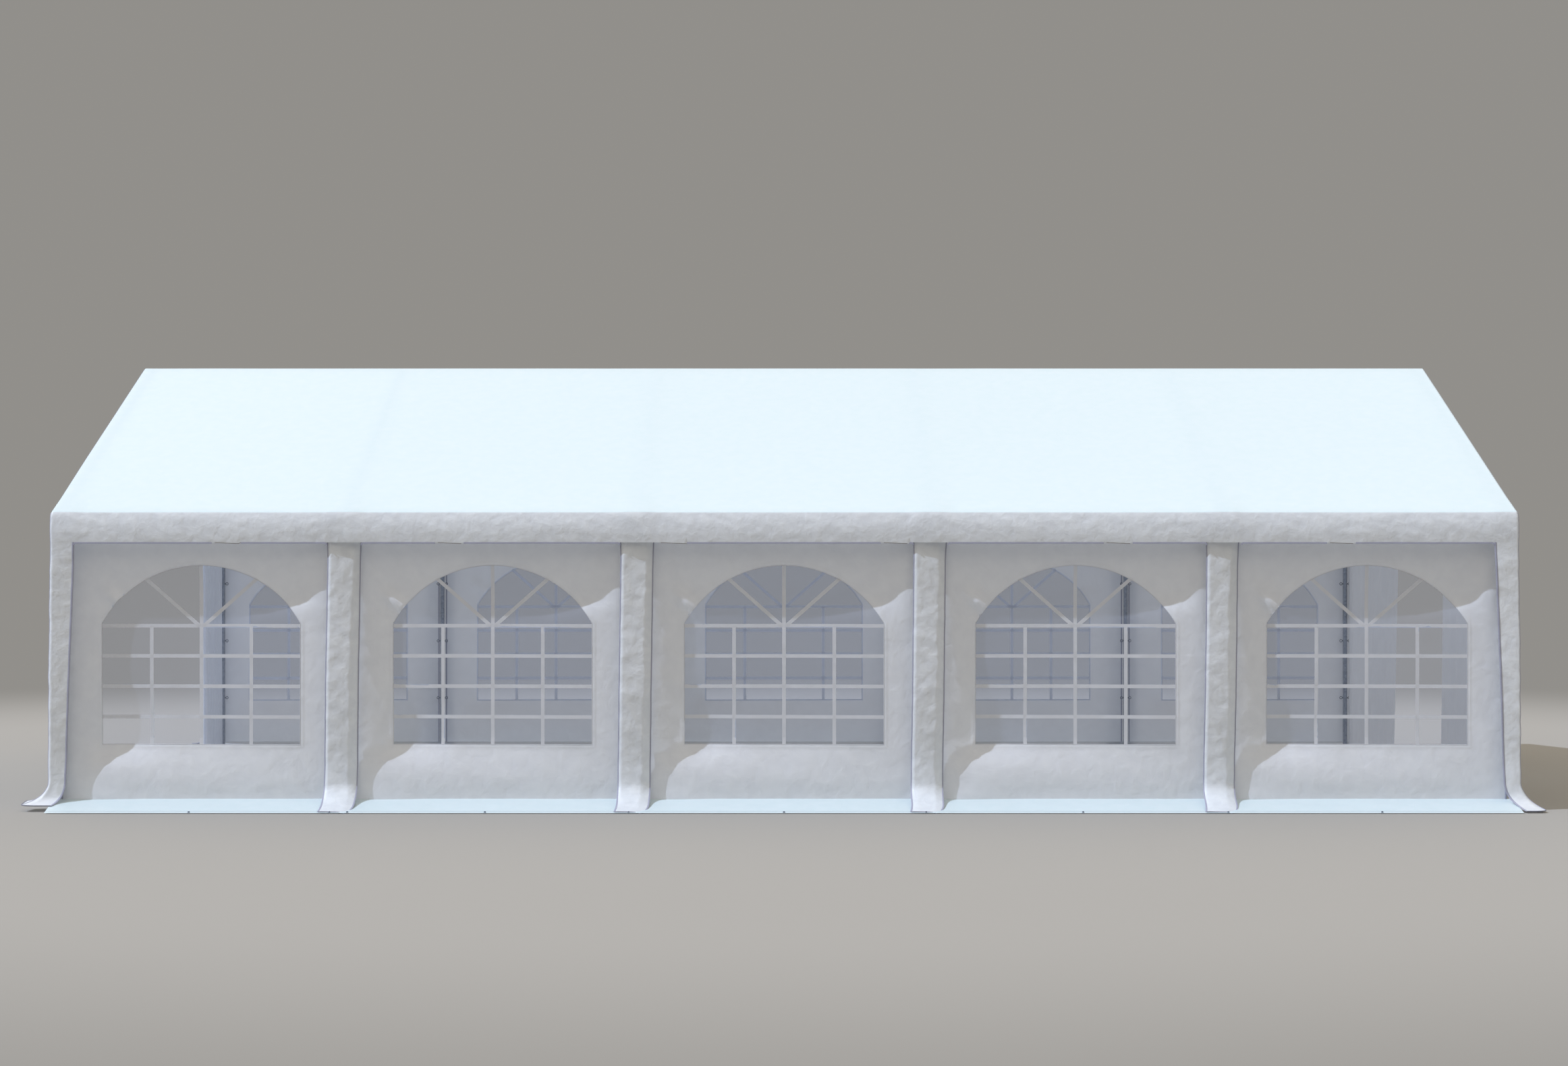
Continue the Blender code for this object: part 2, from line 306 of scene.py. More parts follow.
@dataclass(frozen=True)
class CoatedCloth(Finish):
    """Woven polyethylene tape cloth with a polyethylene coating rolled on to both faces.

    The coating hides the tapes but for a faint square grid, scatters some of the light
    through the cloth, and keeps small dents and crease lines from when it lay folded.
    Its dents are painted a little darker, as painted shade.
    """

    name: str
    colour: str
    # The darker colour painted into the dents as their shade.
    dent_shade_colour: str
    roughness: float
    shine_through: float
    shine_colour: str = "#ECEEF3"
    ior: float = 1.51
    # The real tapes are 2.5 mm wide; they are drawn four times coarser to show at all.
    tape: float = 10 * MM
    tape_depth: float = 0.10 * MM
    speck: float = 14 * MM
    dent: float = 0.07
    dent_depth: float = 4.0 * MM
    crease: float = 0.24
    crease_depth: float = 0.8 * MM

    def shader(self, add: Adder) -> bpy.types.NodeSocket:
        """Adds the cloth's nodes: painted shade in its dents, a grid of tapes and light shining
        through.
        """
        place = add("TexCoord")
        flat, solid = place.outputs["UV"], {"Vector": place.outputs["Object"]}
        softness = {"Detail": 2.5, "Roughness": 0.5, "Distortion": 0.3}
        cloud = add("TexNoise", {"Scale": 1 / self.dent, **softness}, solid)
        ridges = {"noise_type": "RIDGED_MULTIFRACTAL", "Scale": 1 / self.crease, "Detail": 1.0}
        crease = add("TexNoise", ridges, solid)
        speck = add("TexNoise", {"Scale": 1 / self.speck, "Detail": 2.0}, solid)
        # Painted shade: where the cloud noise is low, and the bump sinks into a dent, the colour turns
        # to the darker dent colour.
        tones = {"From Min": 0.35, "From Max": 0.68, "To Min": 0.0, "To Max": 1.0}
        tint = add("MapRange", tones, {"Value": cloud.outputs["Fac"]})
        colours = {"data_type": "RGBA", 6: linear(self.dent_shade_colour), 7: linear(self.colour)}
        colour = add("Mix", colours, {0: tint.outputs["Result"]})
        spread = {"To Min": self.roughness - 0.05, "To Max": self.roughness + 0.08}
        gloss = add("MapRange", spread, {"Value": speck.outputs["Fac"]})
        bands = [
            add("TexWave", {"bands_direction": axis, "Scale": wave_scale(self.tape)}, {"Vector": flat})
            for axis in ("X", "Y")
        ]
        weave = add("Math", {"operation": "MULTIPLY"}, {k: bands[k].outputs["Fac"] for k in (0, 1)})
        relief: dict[str, bpy.types.NodeSocket] = {}
        for strength, depth, height in (
            (0.6, self.tape_depth, weave.outputs["Value"]),
            (1.0, self.dent_depth, cloud.outputs["Fac"]),
            (1.0, self.crease_depth, crease.outputs["Fac"]),
        ):
            bump = add("Bump", {"Strength": strength, "Distance": depth}, {"Height": height, **relief})
            relief = {"Normal": bump.outputs["Normal"]}
        skin = {"Base Color": colour.outputs[2], "Roughness": gloss.outputs["Result"]}
        face = add("BsdfPrincipled", {"IOR": self.ior}, {**skin, **relief})
        through = add("BsdfTranslucent", {"Color": linear(self.shine_colour)})
        sides = {1: face.outputs["BSDF"], 2: through.outputs["BSDF"]}
        return add("MixShader", {0: self.shine_through}, sides).outputs["Shader"]


@dataclass(frozen=True)
class ClearFilm(Finish):
    """Calendered PVC film: clear, a little milky and glossy; seen at a slant its milky face shows
    more, which paints its reflection there.
    """

    name: str = "clear_film_calendered"
    colour: str = "#DFE5F7"
    tint: str = "#E6EFFF"
    roughness: float = 0.09
    ior: float = 1.54
    haze: float = 0.22
    slant_haze_and_reflection: float = 0.85
    tinted_share: float = 0.5
    ripple: float = 0.17
    ripple_depth: float = 1.5 * MM

    def shader(self, add: Adder) -> bpy.types.NodeSocket:
        """Adds the film's nodes: a rippled face over tinted clearness, hazier at a slant as a painted
        reflection.
        """
        solid = {"Vector": add("TexCoord").outputs["Object"]}
        cloud = add("TexNoise", {"Scale": 1 / self.ripple, "Detail": 2.0}, solid)
        depth = {"Strength": 1.0, "Distance": self.ripple_depth}
        ripple = add("Bump", depth, {"Height": cloud.outputs["Fac"]})
        # Painted reflection: the milky face grows more opaque where the film is seen at a slant.
        slant = add("LayerWeight", {"Blend": 0.25})
        hazes = {"To Min": self.haze, "To Max": self.slant_haze_and_reflection}
        haze_and_reflection = add("MapRange", hazes, {"Value": slant.outputs["Facing"]})
        face = add(
            "BsdfPrincipled",
            {"Base Color": linear(self.colour), "Roughness": self.roughness, "IOR": self.ior},
            {"Alpha": haze_and_reflection.outputs["Result"], "Normal": ripple.outputs["Normal"]},
        )
        clear = add("BsdfTransparent", {"Color": linear(self.tint)})
        sides = {1: face.outputs["BSDF"], 2: clear.outputs["BSDF"]}
        return add("MixShader", {0: self.tinted_share}, sides).outputs["Shader"]


@dataclass(frozen=True)
class WeldedStrip(Finish):
    """White PVC strip, pressed and welded on to the film: flat, with a faint grain."""

    name: str = "bar_strip_pressed_white"
    colour: str = "#E3E3E5"
    worn_colour: str = "#D3D4D6"
    roughness: float = 0.5
    ior: float = 1.53
    shine_through: float = 0.30
    wear: float = 60 * MM
    # The press leaves a linen grain of about 1 mm, drawn at 6 mm to show.
    grain: float = 6 * MM
    grain_depth: float = 0.2 * MM

    def shader(self, add: Adder) -> bpy.types.NodeSocket:
        """Adds the strip's nodes: worn patches, the press's grain and light shining through."""
        solid = {"Vector": add("TexCoord").outputs["Object"]}
        cloud = add("TexNoise", {"Scale": 1 / self.wear, "Detail": 4.0}, solid)
        grain = add("TexNoise", {"Scale": 1 / self.grain}, solid)
        colours = {"data_type": "RGBA", 6: linear(self.worn_colour), 7: linear(self.colour)}
        colour = add("Mix", colours, {0: cloud.outputs["Fac"]})
        depth = {"Strength": 0.5, "Distance": self.grain_depth}
        bump = add("Bump", depth, {"Height": grain.outputs["Fac"]})
        face = add(
            "BsdfPrincipled",
            {"Roughness": self.roughness, "IOR": self.ior},
            {"Base Color": colour.outputs[2], "Normal": bump.outputs["Normal"]},
        )
        through = add("BsdfTranslucent", {"Color": linear(self.colour)})
        sides = {1: face.outputs["BSDF"], 2: through.outputs["BSDF"]}
        return add("MixShader", {0: self.shine_through}, sides).outputs["Shader"]


@dataclass(frozen=True)
class BindingTape(Finish):
    """Woven blue-grey polyester tape folded over a cut edge and stitched.

    It draws a thin cool line round each cloth, with a rib across it at every thread. Its default
    colour is dark so that the line also stands for the shade in the gap beside an edge, as painted
    shade.
    """

    name: str = "binding_tape_woven_blue_grey"
    # Partly painted shade: kept dark so that the tape also carries the shade in the gap beside a
    # cloth's edge.
    colour: str = "#9091A1"
    thread_colour: str = "#A0A1B0"
    roughness: float = 0.75
    ior: float = 1.5
    # Ribs of 1 mm, drawn at 6 mm so that they show.
    rib: float = 6 * MM
    rib_depth: float = 0.4 * MM

    def shader(self, add: Adder) -> bpy.types.NodeSocket:
        """Adds the tape's nodes: ribs of lighter thread across its length."""
        flat = {"Vector": add("TexCoord").outputs["UV"]}
        ribs = add("TexWave", {"bands_direction": "Y", "Scale": wave_scale(self.rib)}, flat)
        colours = {"data_type": "RGBA", 6: linear(self.colour), 7: linear(self.thread_colour)}
        colour = add("Mix", colours, {0: ribs.outputs["Fac"]})
        depth = {"Strength": 0.6, "Distance": self.rib_depth}
        bump = add("Bump", depth, {"Height": ribs.outputs["Fac"]})
        face = add(
            "BsdfPrincipled",
            {"Roughness": self.roughness, "IOR": self.ior, "Sheen Weight": 0.2},
            {"Base Color": colour.outputs[2], "Normal": bump.outputs["Normal"]},
        )
        return face.outputs["BSDF"]


@dataclass(frozen=True)
class GalvanisedSteel(Finish):
    """Hot-dip galvanised steel tube: a dull zinc skin with spangles of 8 to 20 mm."""

    name: str = "galvanised_steel_hot_dip"
    colour: str = "#7C8592"
    spangle_colour: str = "#98A1AD"
    smooth_roughness: float = 0.28
    dull_roughness: float = 0.44
    spangle: float = 14 * MM
    spangle_depth: float = 0.2 * MM
    dust: float = 120 * MM

    def shader(self, add: Adder) -> bpy.types.NodeSocket:
        """Adds the steel's nodes: spangles in two greys, dulled unevenly."""
        solid = {"Vector": add("TexCoord").outputs["Object"]}
        cells = add("TexVoronoi", {"Scale": 1 / self.spangle}, solid)
        dust = add("TexNoise", {"Scale": 1 / self.dust, "Detail": 6.0}, solid)
        tone = add("SeparateColor", None, {"Color": cells.outputs["Color"]})
        colours = {"data_type": "RGBA", 6: linear(self.colour), 7: linear(self.spangle_colour)}
        colour = add("Mix", colours, {0: tone.outputs["Red"]})
        spread = {"To Min": self.smooth_roughness, "To Max": self.dull_roughness}
        gloss = add("MapRange", spread, {"Value": dust.outputs["Fac"]})
        depth = {"Strength": 0.4, "Distance": self.spangle_depth}
        bump = add("Bump", depth, {"Height": tone.outputs["Green"]})
        skin = {"Base Color": colour.outputs[2], "Roughness": gloss.outputs["Result"]}
        face = add("BsdfPrincipled", {"Metallic": 1.0}, {**skin, "Normal": bump.outputs["Normal"]})
        return face.outputs["BSDF"]


@dataclass(frozen=True)
class DarkZincSteel(Finish):
    """Bent steel wire, zinc plated and passivated dark: small parts read as dark accents."""

    name: str = "hardware_steel_dark_zinc"
    colour: str = "#4A5160"
    worn_colour: str = "#6E7684"
    metallic: float = 0.8
    roughness: float = 0.42
    wear: float = 9 * MM

    def shader(self, add: Adder) -> bpy.types.NodeSocket:
        """Adds the wire's nodes: a dark skin with lighter worn spots."""
        solid = {"Vector": add("TexCoord").outputs["Object"]}
        wear = add("TexNoise", {"Scale": 1 / self.wear, "Detail": 4.0}, solid)
        colours = {"data_type": "RGBA", 6: linear(self.colour), 7: linear(self.worn_colour)}
        colour = add("Mix", colours, {0: wear.outputs["Fac"]})
        plated = {"Metallic": self.metallic, "Roughness": self.roughness}
        return add("BsdfPrincipled", plated, {"Base Color": colour.outputs[2]}).outputs["BSDF"]


# Partly painted light: white cloth tinted cyan-green for the colour of the light on up-facing cloth;
# it covers the roof's slopes and the ground flaps, while the hanging parts take the cover cloth.
TOP_LIGHT_CLOTH = CoatedCloth(
    name="roof_cloth_coated_white",
    colour="#ECFAFB",
    dent_shade_colour="#E8F8F9",
    roughness=0.40,
    shine_through=0.33,
    dent_depth=0.6 * MM,
    crease_depth=0.1 * MM,
)
COVER_CLOTH = CoatedCloth(
    name="leg_cover_cloth_coated_white",
    colour="#E8EBEC",
    dent_shade_colour="#DFE2E4",
    roughness=0.44,
    shine_through=0.22,
    dent=0.055,
    dent_depth=5.0 * MM,
)
WALL_CLOTH = CoatedCloth(
    name="wall_cloth_coated_white",
    colour="#F0F1F2",
    dent_shade_colour="#EAEBED",
    roughness=0.46,
    shine_through=0.35,
    dent=0.085,
    dent_depth=5.5 * MM,
    crease_depth=0.4 * MM,
)
FILM = ClearFilm()
BAR_STRIP = WeldedStrip()
# The edge tape: a real binding, dark enough to paint the shade in the gaps beside the edges too.
GAP_SHADE_BINDING = BindingTape()
# Painted shade: the tape round the covers' feet is dark for the shade under their rolled foot edges.
FOOT_SHADE_TAPE = BindingTape(name="hem_tape_woven_soiled", colour="#6C6E78", thread_colour="#7B7D88")
# Painted shadow: a dark strip under each lapped hem of the valance stands for the shadow there.
LAP_SHADOW_STRIP = BindingTape(name="lap_strip_painted_shadow", colour="#77706C", thread_colour="#8A8380")
STEEL = GalvanisedSteel()
WIRE_STEEL = DarkZincSteel()


# Meshes


@dataclass
class Spot:
    """A point of a cloth and where it lay when the cloth was flat."""

    point: Vector
    flat: Pair


def strip(width: float, thickness: float) -> list[Pair]:
    """The section of a flat strip."""
    a, b = width / 2, thickness / 2
    return [(-a, -b), (a, -b), (a, b), (-a, b)]


def full_turn(count: int) -> list[float]:
    """The angles of a number of points round a circle."""
    return [2 * math.pi * k / count for k in range(count)]


def oval(width: float, thickness: float, sides: int = 8) -> list[Pair]:
    """The section of a flattened tube."""
    return [(width / 2 * math.cos(turn), thickness / 2 * math.sin(turn)) for turn in full_turn(sides)]


def arc(
    centre: Vector, radius: float, first: Vector, second: Vector, turns: Sequence[float]
) -> list[Vector]:
    """Points round a centre, at angles from the first direction towards the second."""
    return [centre + radius * (math.cos(turn) * first + math.sin(turn) * second) for turn in turns]


def stretches(row: Sequence[Spot], is_in: Callable[[float], bool]) -> list[list[Vector]]:
    """The stretches of a row of spots, three or more long, where is_in is true of x."""
    groups = [
        (inside, [spot.point for spot in group])
        for inside, group in groupby(row, lambda spot: is_in(spot.point.x))
    ]
    return [points for inside, points in groups if inside and len(points) > 2]


class PieceMesh:
    """The points, faces and flat coordinates of one piece, gathered before it is made."""

    def __init__(self, rows: Sequence[Sequence[Spot]] = ()) -> None:
        """Starts a piece, empty or with a grid of faces."""
        self.spots: list[Spot] = []
        self.faces: list[tuple[int, ...]] = []
        self.second: set[int] = set()
        if rows:
            self.add_rows(rows)

    def add_rows(
        self,
        rows: Sequence[Sequence[Spot]],
        closed: bool = False,
        is_second: Callable[[int], bool] = lambda line: False,
    ) -> None:
        """Adds a grid of faces.

        Args:
            rows: the grid's spots, each row as long as the next.
            closed: True where the last spot of a row joins the first.
            is_second: whether the faces after a row have the piece's second material.
        """
        start, width = len(self.spots), len(rows[0])
        for row in rows:
            self.spots.extend(row)
        for line in range(len(rows) - 1):
            for k in range(width if closed else width - 1):
                a = start + line * width + k
                b = start + line * width + (k + 1) % width
                if is_second(line):
                    self.second.add(len(self.faces))
                self.faces.append((a, b, b + width, a + width))

    def add_sweep(
        self,
        path: Sequence[Vector],
        section: Sequence[Pair],
        wide: Vector,
        closed: bool = False,
        second: bool = False,
    ) -> None:
        """Adds a closed body drawn along a path.

        Args:
            path: the points that it follows.
            section: its outline, as (along wide, square to wide) pairs.
            wide: the direction of the outline's first axis.
            closed: True where the path's end joins its start.
            second: True where it has the piece's second material.
        """
        rows: list[list[Spot]] = []
        count, distance = len(path), 0.0
        for k, point in enumerate(path):
            before = path[(k - 1) % count if closed else max(k - 1, 0)]
            after = path[(k + 1) % count if closed else min(k + 1, count - 1)]
            ahead = (after - before).normalized()
            across = (wide - ahead * wide.dot(ahead)).normalized()
            up = ahead.cross(across)
            distance += (point - before).length if k else 0.0
            rows.append([Spot(point + across * a + up * b, (a, distance + b)) for a, b in section])
        first = len(self.spots)
        if closed:
            rows.append(rows[0])
        self.add_rows(rows, closed=True, is_second=lambda line: second)
        if not closed:
            last = first + (count - 1) * len(section)
            self.faces.append(tuple(range(first, first + len(section)))[::-1])
            self.faces.append(tuple(range(last, last + len(section))))

    def build(
        self,
        name: str,
        slot: Slot | None,
        finish: Finish,
        replaces: Sequence[str] = (),
        second: Finish | None = None,
        smooth: bool = True,
    ) -> bpy.types.Object:
        """Makes an object of the points and faces.

        Args:
            name: the object's name.
            slot: the record's slot of its finish, or None for what isn't part of the tent; only
                whether it is given is used, to attach the piece to the tent's body.
            finish: its finish.
            replaces: the CAD nodes that it stands for.
            second: the finish of its second kind of faces, where it has any.
            smooth: True for smooth shading with sharp edges kept.

        Returns:
            The new object.
        """
        mesh = bpy.data.meshes.new(name)
        mesh.from_pydata([spot.point for spot in self.spots], [], self.faces)
        layer = mesh.uv_layers.new(name="flat")
        flat: list[float] = []
        for loop in mesh.loops:
            flat.extend(self.spots[loop.vertex_index].flat)
        layer.data.foreach_set("uv", flat)
        mesh.materials.append(finish.material())
        if second:
            mesh.materials.append(second.material())
            for k in self.second:
                mesh.polygons[k].material_index = 1
        mesh.validate()
        if smooth:
            mesh.shade_smooth()
            mesh.set_sharp_from_angle(angle=math.radians(50))
        piece = bpy.data.objects.new(name, mesh)
        bpy.context.scene.collection.objects.link(piece)
        if slot:
            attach(piece, BODY)
        if replaces:
            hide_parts(*replaces)
        logging.info("%s: %d faces", name, len(self.faces))
        return piece


# Roof


@dataclass(frozen=True)
class SectionPoint:
    """A point of a cloth's section, with the distance to it along the cloth."""

    distance: float
    y: float
    z: float
    normal: Vector

    def hung(self, high: float, low: float) -> float:
        """0 above the height high and 1 below low, on the part that hangs from the eave."""
        return ease(high, low, self.z) if self.y > 2.9 else 0.0


def measured(outline: Sequence[Pair]) -> list[SectionPoint]:
    """The points of a section's outline with their distances along it and their normals."""
    points: list[SectionPoint] = []
    distance = 0.0
    for k, (y, z) in enumerate(outline):
        before, after = outline[max(k - 1, 0)], outline[min(k + 1, len(outline) - 1)]
        distance += math.dist((y, z), before)
        normal = Vector((0, before[1] - after[1], after[0] - before[0])).normalized()
        points.append(SectionPoint(distance, y, z, normal))
    return points


@dataclass
class RoofCover:
    """One welded cloth from the front valance over the ridge to the back valance."""

    column: float = 0.02
    turn_y: float = 2.953
    brow_z: float = 2.0337
    belly_z: float = 1.905
    fullest: float = 3.004
    lean_in: float = 0.020
    lean_power: float = 2.4
    hang_in: float = 0.007
    hang_power: float = 1.6
    sag: float = 0.003
    sleeve_rise: float = 4.5 * MM
    sleeve_x: Span = (0.16, 0.05)
    sleeve_y: Span = (2.70, 2.90)
    sleeve_z: Span = (1.94, 2.03)
    lap_spacing: float = 1.52
    lap_width: float = 0.195
    lap_drop: float = 0.007
    cover_half: float = 0.104
    tight_end: float = 0.6
    fillet: float = 0.013
    binding_width: float = 11 * MM
    binding_thickness: float = 3 * MM
    binding_drop: float = 4 * MM
    leaning: float = 0.9
    unevenness: Wrinkles = Wrinkles(0.8 * MM, 0.5)
    fine_wrinkles: Wrinkles = Wrinkles(1.6 * MM, 0.05, seed=5, slant_a=-0.5)
    wrinkles: tuple[Wrinkles, ...] = (
        Wrinkles(2.5 * MM, 0.26, seed=2),
        Wrinkles(2.8 * MM, 0.10, seed=4, stretch=1.6),
        Wrinkles(1.6 * MM, 0.20, seed=6, folded=True),
    )

    @cached_property
    def outline(self) -> list[Pair]:
        """Half the roof's section on +Y as (y, z) pairs, from the ridge to the valance's foot."""
        slope, top = TENT.slope, TENT.ridge_radius
        ridge_z = TENT.ridge - top / math.cos(slope)
        points = [
            (top * math.sin(angle), ridge_z + top * math.cos(angle))
            for angle in spaced(0.0, slope, slope / 3)
        ]
        start, brow = points[-1][0], (self.fullest - self.lean_in, self.brow_z)
        points += [
            (y, TENT.ridge - y * math.tan(slope))
            for y in spaced(start, self.turn_y, (self.turn_y - start) / 26)[1:]
        ]
        rise = self.brow_z - self.belly_z
        lean = self.lean_power * self.lean_in / rise
        knee_z = TENT.ridge - (brow[0] + lean * self.brow_z) * math.tan(slope)
        knee_z /= 1 - lean * math.tan(slope)
        knee = (brow[0] - lean * (knee_z - self.brow_z), knee_z)
        last = points[-1]
        for t in spaced(0.0, 1.0, 1 / 8)[1:]:
            points.append(tuple(bend(*ends, t) for ends in zip(last, knee, brow)))
        for z in spaced(self.brow_z, TENT.valance_foot, 0.0095)[1:]:
            above = max(0.0, (z - self.belly_z) / rise)
            below = max(0.0, (self.belly_z - z) / (self.belly_z - TENT.valance_foot))
            back = self.lean_in * above**self.lean_power + self.hang_in * below**self.hang_power
            points.append((self.fullest - back, z))
        return points

    @cached_property
    def section(self) -> list[SectionPoint]:
        """The outline's points, measured. The ridge's normal is upright."""
        ridge, *others = measured(self.outline)
        return [replace(ridge, normal=UP), *others]

    def height(self, y: float) -> float:
        """The height of the cloth at y from the tent's middle."""
        for before, after in zip(self.outline, self.outline[1:]):
            if before[0] <= y <= after[0]:
                share = (y - before[0]) / max(after[0] - before[0], 1e-9)
                return between(before[1], after[1], share)
        return self.belly_z

    def lap(self, x: float) -> float:
        """How much lower the hem hangs at x, where one cloth width laps the next."""
        middle = (math.floor(x / self.lap_spacing) + 0.5) * self.lap_spacing
        share = (x - middle) / self.lap_width + 0.5
        return self.lap_drop * share if 0.0 < share <= 1.0 else 0.0

    def between_rafters(self, x: float) -> float:
        """0 over a rafter and 1 midway between two."""
        posts = TENT.post_xs
        for left, right in zip(posts, posts[1:]):
            if left <= x <= right:
                share = (x - left) / (right - left)
                return 4 * share * (1 - share)
        return 0.0

    def end_radius(self, x: float, y: float) -> float:
        """The radius that the cloth turns down by at its ends: tighter at the ridge and on +X."""
        share = between(self.tight_end, 1.0, ease(0.6, 1.0, y / TENT.half_width))
        return TENT.end_radius * (self.tight_end if x > 0 else share)

    def turned_end(self, x: float, y: float) -> float:
        """How far the cloth has turned down at x, round the end rafter."""
        radius = self.end_radius(x, y)
        over = max(0.0, abs(x) - (TENT.half_length - radius))
        return radius - math.sqrt(max(0.0, radius**2 - over**2))

    def relief(self, x: float, spot: SectionPoint, side: Side) -> float:
        """How far the cloth stands out from its plain section."""
        fall, seed = spot.distance, 1.5 + 0.5 * side.value
        slope_share = min(1.0, spot.y / TENT.half_width)
        out = -self.sag * self.between_rafters(x) * math.sin(math.pi * slope_share)
        out += self.unevenness.rise(x, fall, seed)
        near = min(abs(x - post_x) for post_x in TENT.post_xs)
        over = ease(*self.sleeve_x, near) * ease(*self.sleeve_y, spot.y)
        out += self.sleeve_rise * over * ease(*self.sleeve_z, spot.z)
        edge, foot = TENT.half_length - TENT.corner_cover, TENT.valance_foot
        at_cover = ease(edge - 0.10, TENT.half_length - 0.16, abs(x)) * ease(foot + 0.09, foot, spot.z)
        free = spot.hung(TENT.eave + 0.03, TENT.eave - 0.06) * (1 - at_cover)
        lean = x + self.leaning * side.value * fall
        out += free * rumple(self.wrinkles, lean, fall, seed)
        out += free * self.fine_wrinkles.rise(x, fall, seed)
        return out - self.turned_end(x, spot.y)

    def place(self, x: float, spot: SectionPoint, side: Side) -> Vector:
        """A point of the cloth."""
        out = self.relief(x, spot, side)
        y = spot.y + out * spot.normal.y
        hem = spot.hung(TENT.valance_foot + 0.05, TENT.valance_foot)
        z = spot.z + out * spot.normal.z - hem * self.lap(x)
        low = spot.hung(TENT.eave + 0.03, TENT.eave - 0.03)
        low *= ease(TENT.half_length - 0.10, TENT.half_length, abs(x))
        x += math.copysign(low * TENT.swell(x), x)
        return Vector((x, side.value * y, z))

    def columns(self) -> list[float]:
        """Where the cloth's columns of points are along the tent."""
        half = TENT.half_length
        columns = set(spaced(-half + TENT.end_radius, half - TENT.end_radius, self.column))
        for sign in (-1, 1):
            columns |= {
                sign * (half - TENT.end_radius * (1 - math.sin(math.pi / 14 * k))) for k in range(8)
            }
        count = round(2 * half / self.lap_spacing)
        for k in range(-count, count):
            step = (k + 0.5) * self.lap_spacing + self.lap_width / 2
            if abs(step) < half - 0.05:
                columns |= {step, step + MM}
        return sorted(columns)

    def shows_gap_shade_tape(self, x: float) -> bool:
        """Whether the valance's dark tape shows at x, as painted shade of the gap under it: not over a
        cover and not at a lap.
        """
        if abs(x) > TENT.half_length - TENT.corner_cover or self.lap(x) > 0.0:
            return False
        return all(abs(x - post_x) > self.cover_half for post_x in TENT.post_xs[1:-1])

    def filleted(self, path: list[Vector]) -> list[Vector]:
        """A run of the valance's tape with its ends turned down beside a leg or corner cover.

        Args:
            path: the run's points.

        Returns:
            The points with a quarter turn before the first and after the last, where a cover is.
        """
        beside = [post_x + s * self.cover_half for post_x in TENT.post_xs[1:-1] for s in (-1, 1)]
        beside += [s * (TENT.half_length - TENT.corner_cover) for s in (-1, 1)]
        turned = list(path)
        for first, sign in ((True, -1), (False, 1)):
            end = path[0] if first else path[-1]
            if min(abs(end.x - x) for x in beside) > 1.5 * self.column:
                continue
            kept = [p for p in turned if sign * (end.x - p.x) > self.fillet]
            centre = Vector((end.x - sign * self.fillet, end.y, end.z - self.fillet))
            curve = arc(centre, self.fillet, UP, sign * ALONG, spaced(0.0, math.pi / 2, math.pi / 10))
            turned = [*curve[::-1], *kept] if first else [*kept, *curve]
        return turned

    def build(self) -> None:
        """Makes the roof's cloth and its edge binding."""
        section, columns = self.section, self.columns()
        rows = [
            [Spot(self.place(x, spot, side), (x, side.value * spot.distance)) for x in columns]
            for side, part in ((Side.FRONT, section[::-1]), (Side.BACK, section[1:]))
            for spot in part
        ]
        hanging = sum(1 for spot in section if spot.z < self.brow_z + MM)
        cloth = PieceMesh()
        cloth.add_rows(rows, is_second=lambda line: not hanging <= line < len(rows) - 1 - hanging)
        replaced = ["roof_cover_front", "roof_cover_back"]
        # The slopes take the top-light tinted cloth; the hanging valance takes the cover cloth.
        cover = cloth.build("roof_cover", Slot.ROOF, TOP_LIGHT_CLOTH, replaced, second=COVER_CLOTH)
        tape = PieceMesh()
        flat_strip = strip(self.binding_width, self.binding_thickness)
        for row in (rows[0], rows[-1]):
            for run in stretches(row, self.shows_gap_shade_tape):
                path = self.filleted([point - self.binding_drop * UP for point in run])
                tape.add_sweep(path, flat_strip, UP)
        for index in (0, -1):
            tape.add_sweep([row[index].point for row in rows], oval(8 * MM, 7 * MM), ALONG)
        binding = tape.build("roof_cover_binding", Slot.ROOF, GAP_SHADE_BINDING)
        lap_shadow = self.build_lap_shadow((rows[0], rows[-1]))

    def build_lap_shadow(self, hems: Sequence[Sequence[Spot]]) -> bpy.types.Object:
        """Makes the dark strip under the hem at each lap, a painted shadow of the lapped hem."""
        shape = PieceMesh()
        for side, hem in zip(Side, hems):
            for run in stretches(hem, lambda x: self.lap(x) > 0.0):
                path = [point - side.value * 2 * MM * ACROSS for point in run]
                shape.add_sweep(path, strip(7 * MM, 2 * MM), UP)
        return shape.build("roof_cover_lap_shadow", Slot.ROOF, LAP_SHADOW_STRIP)


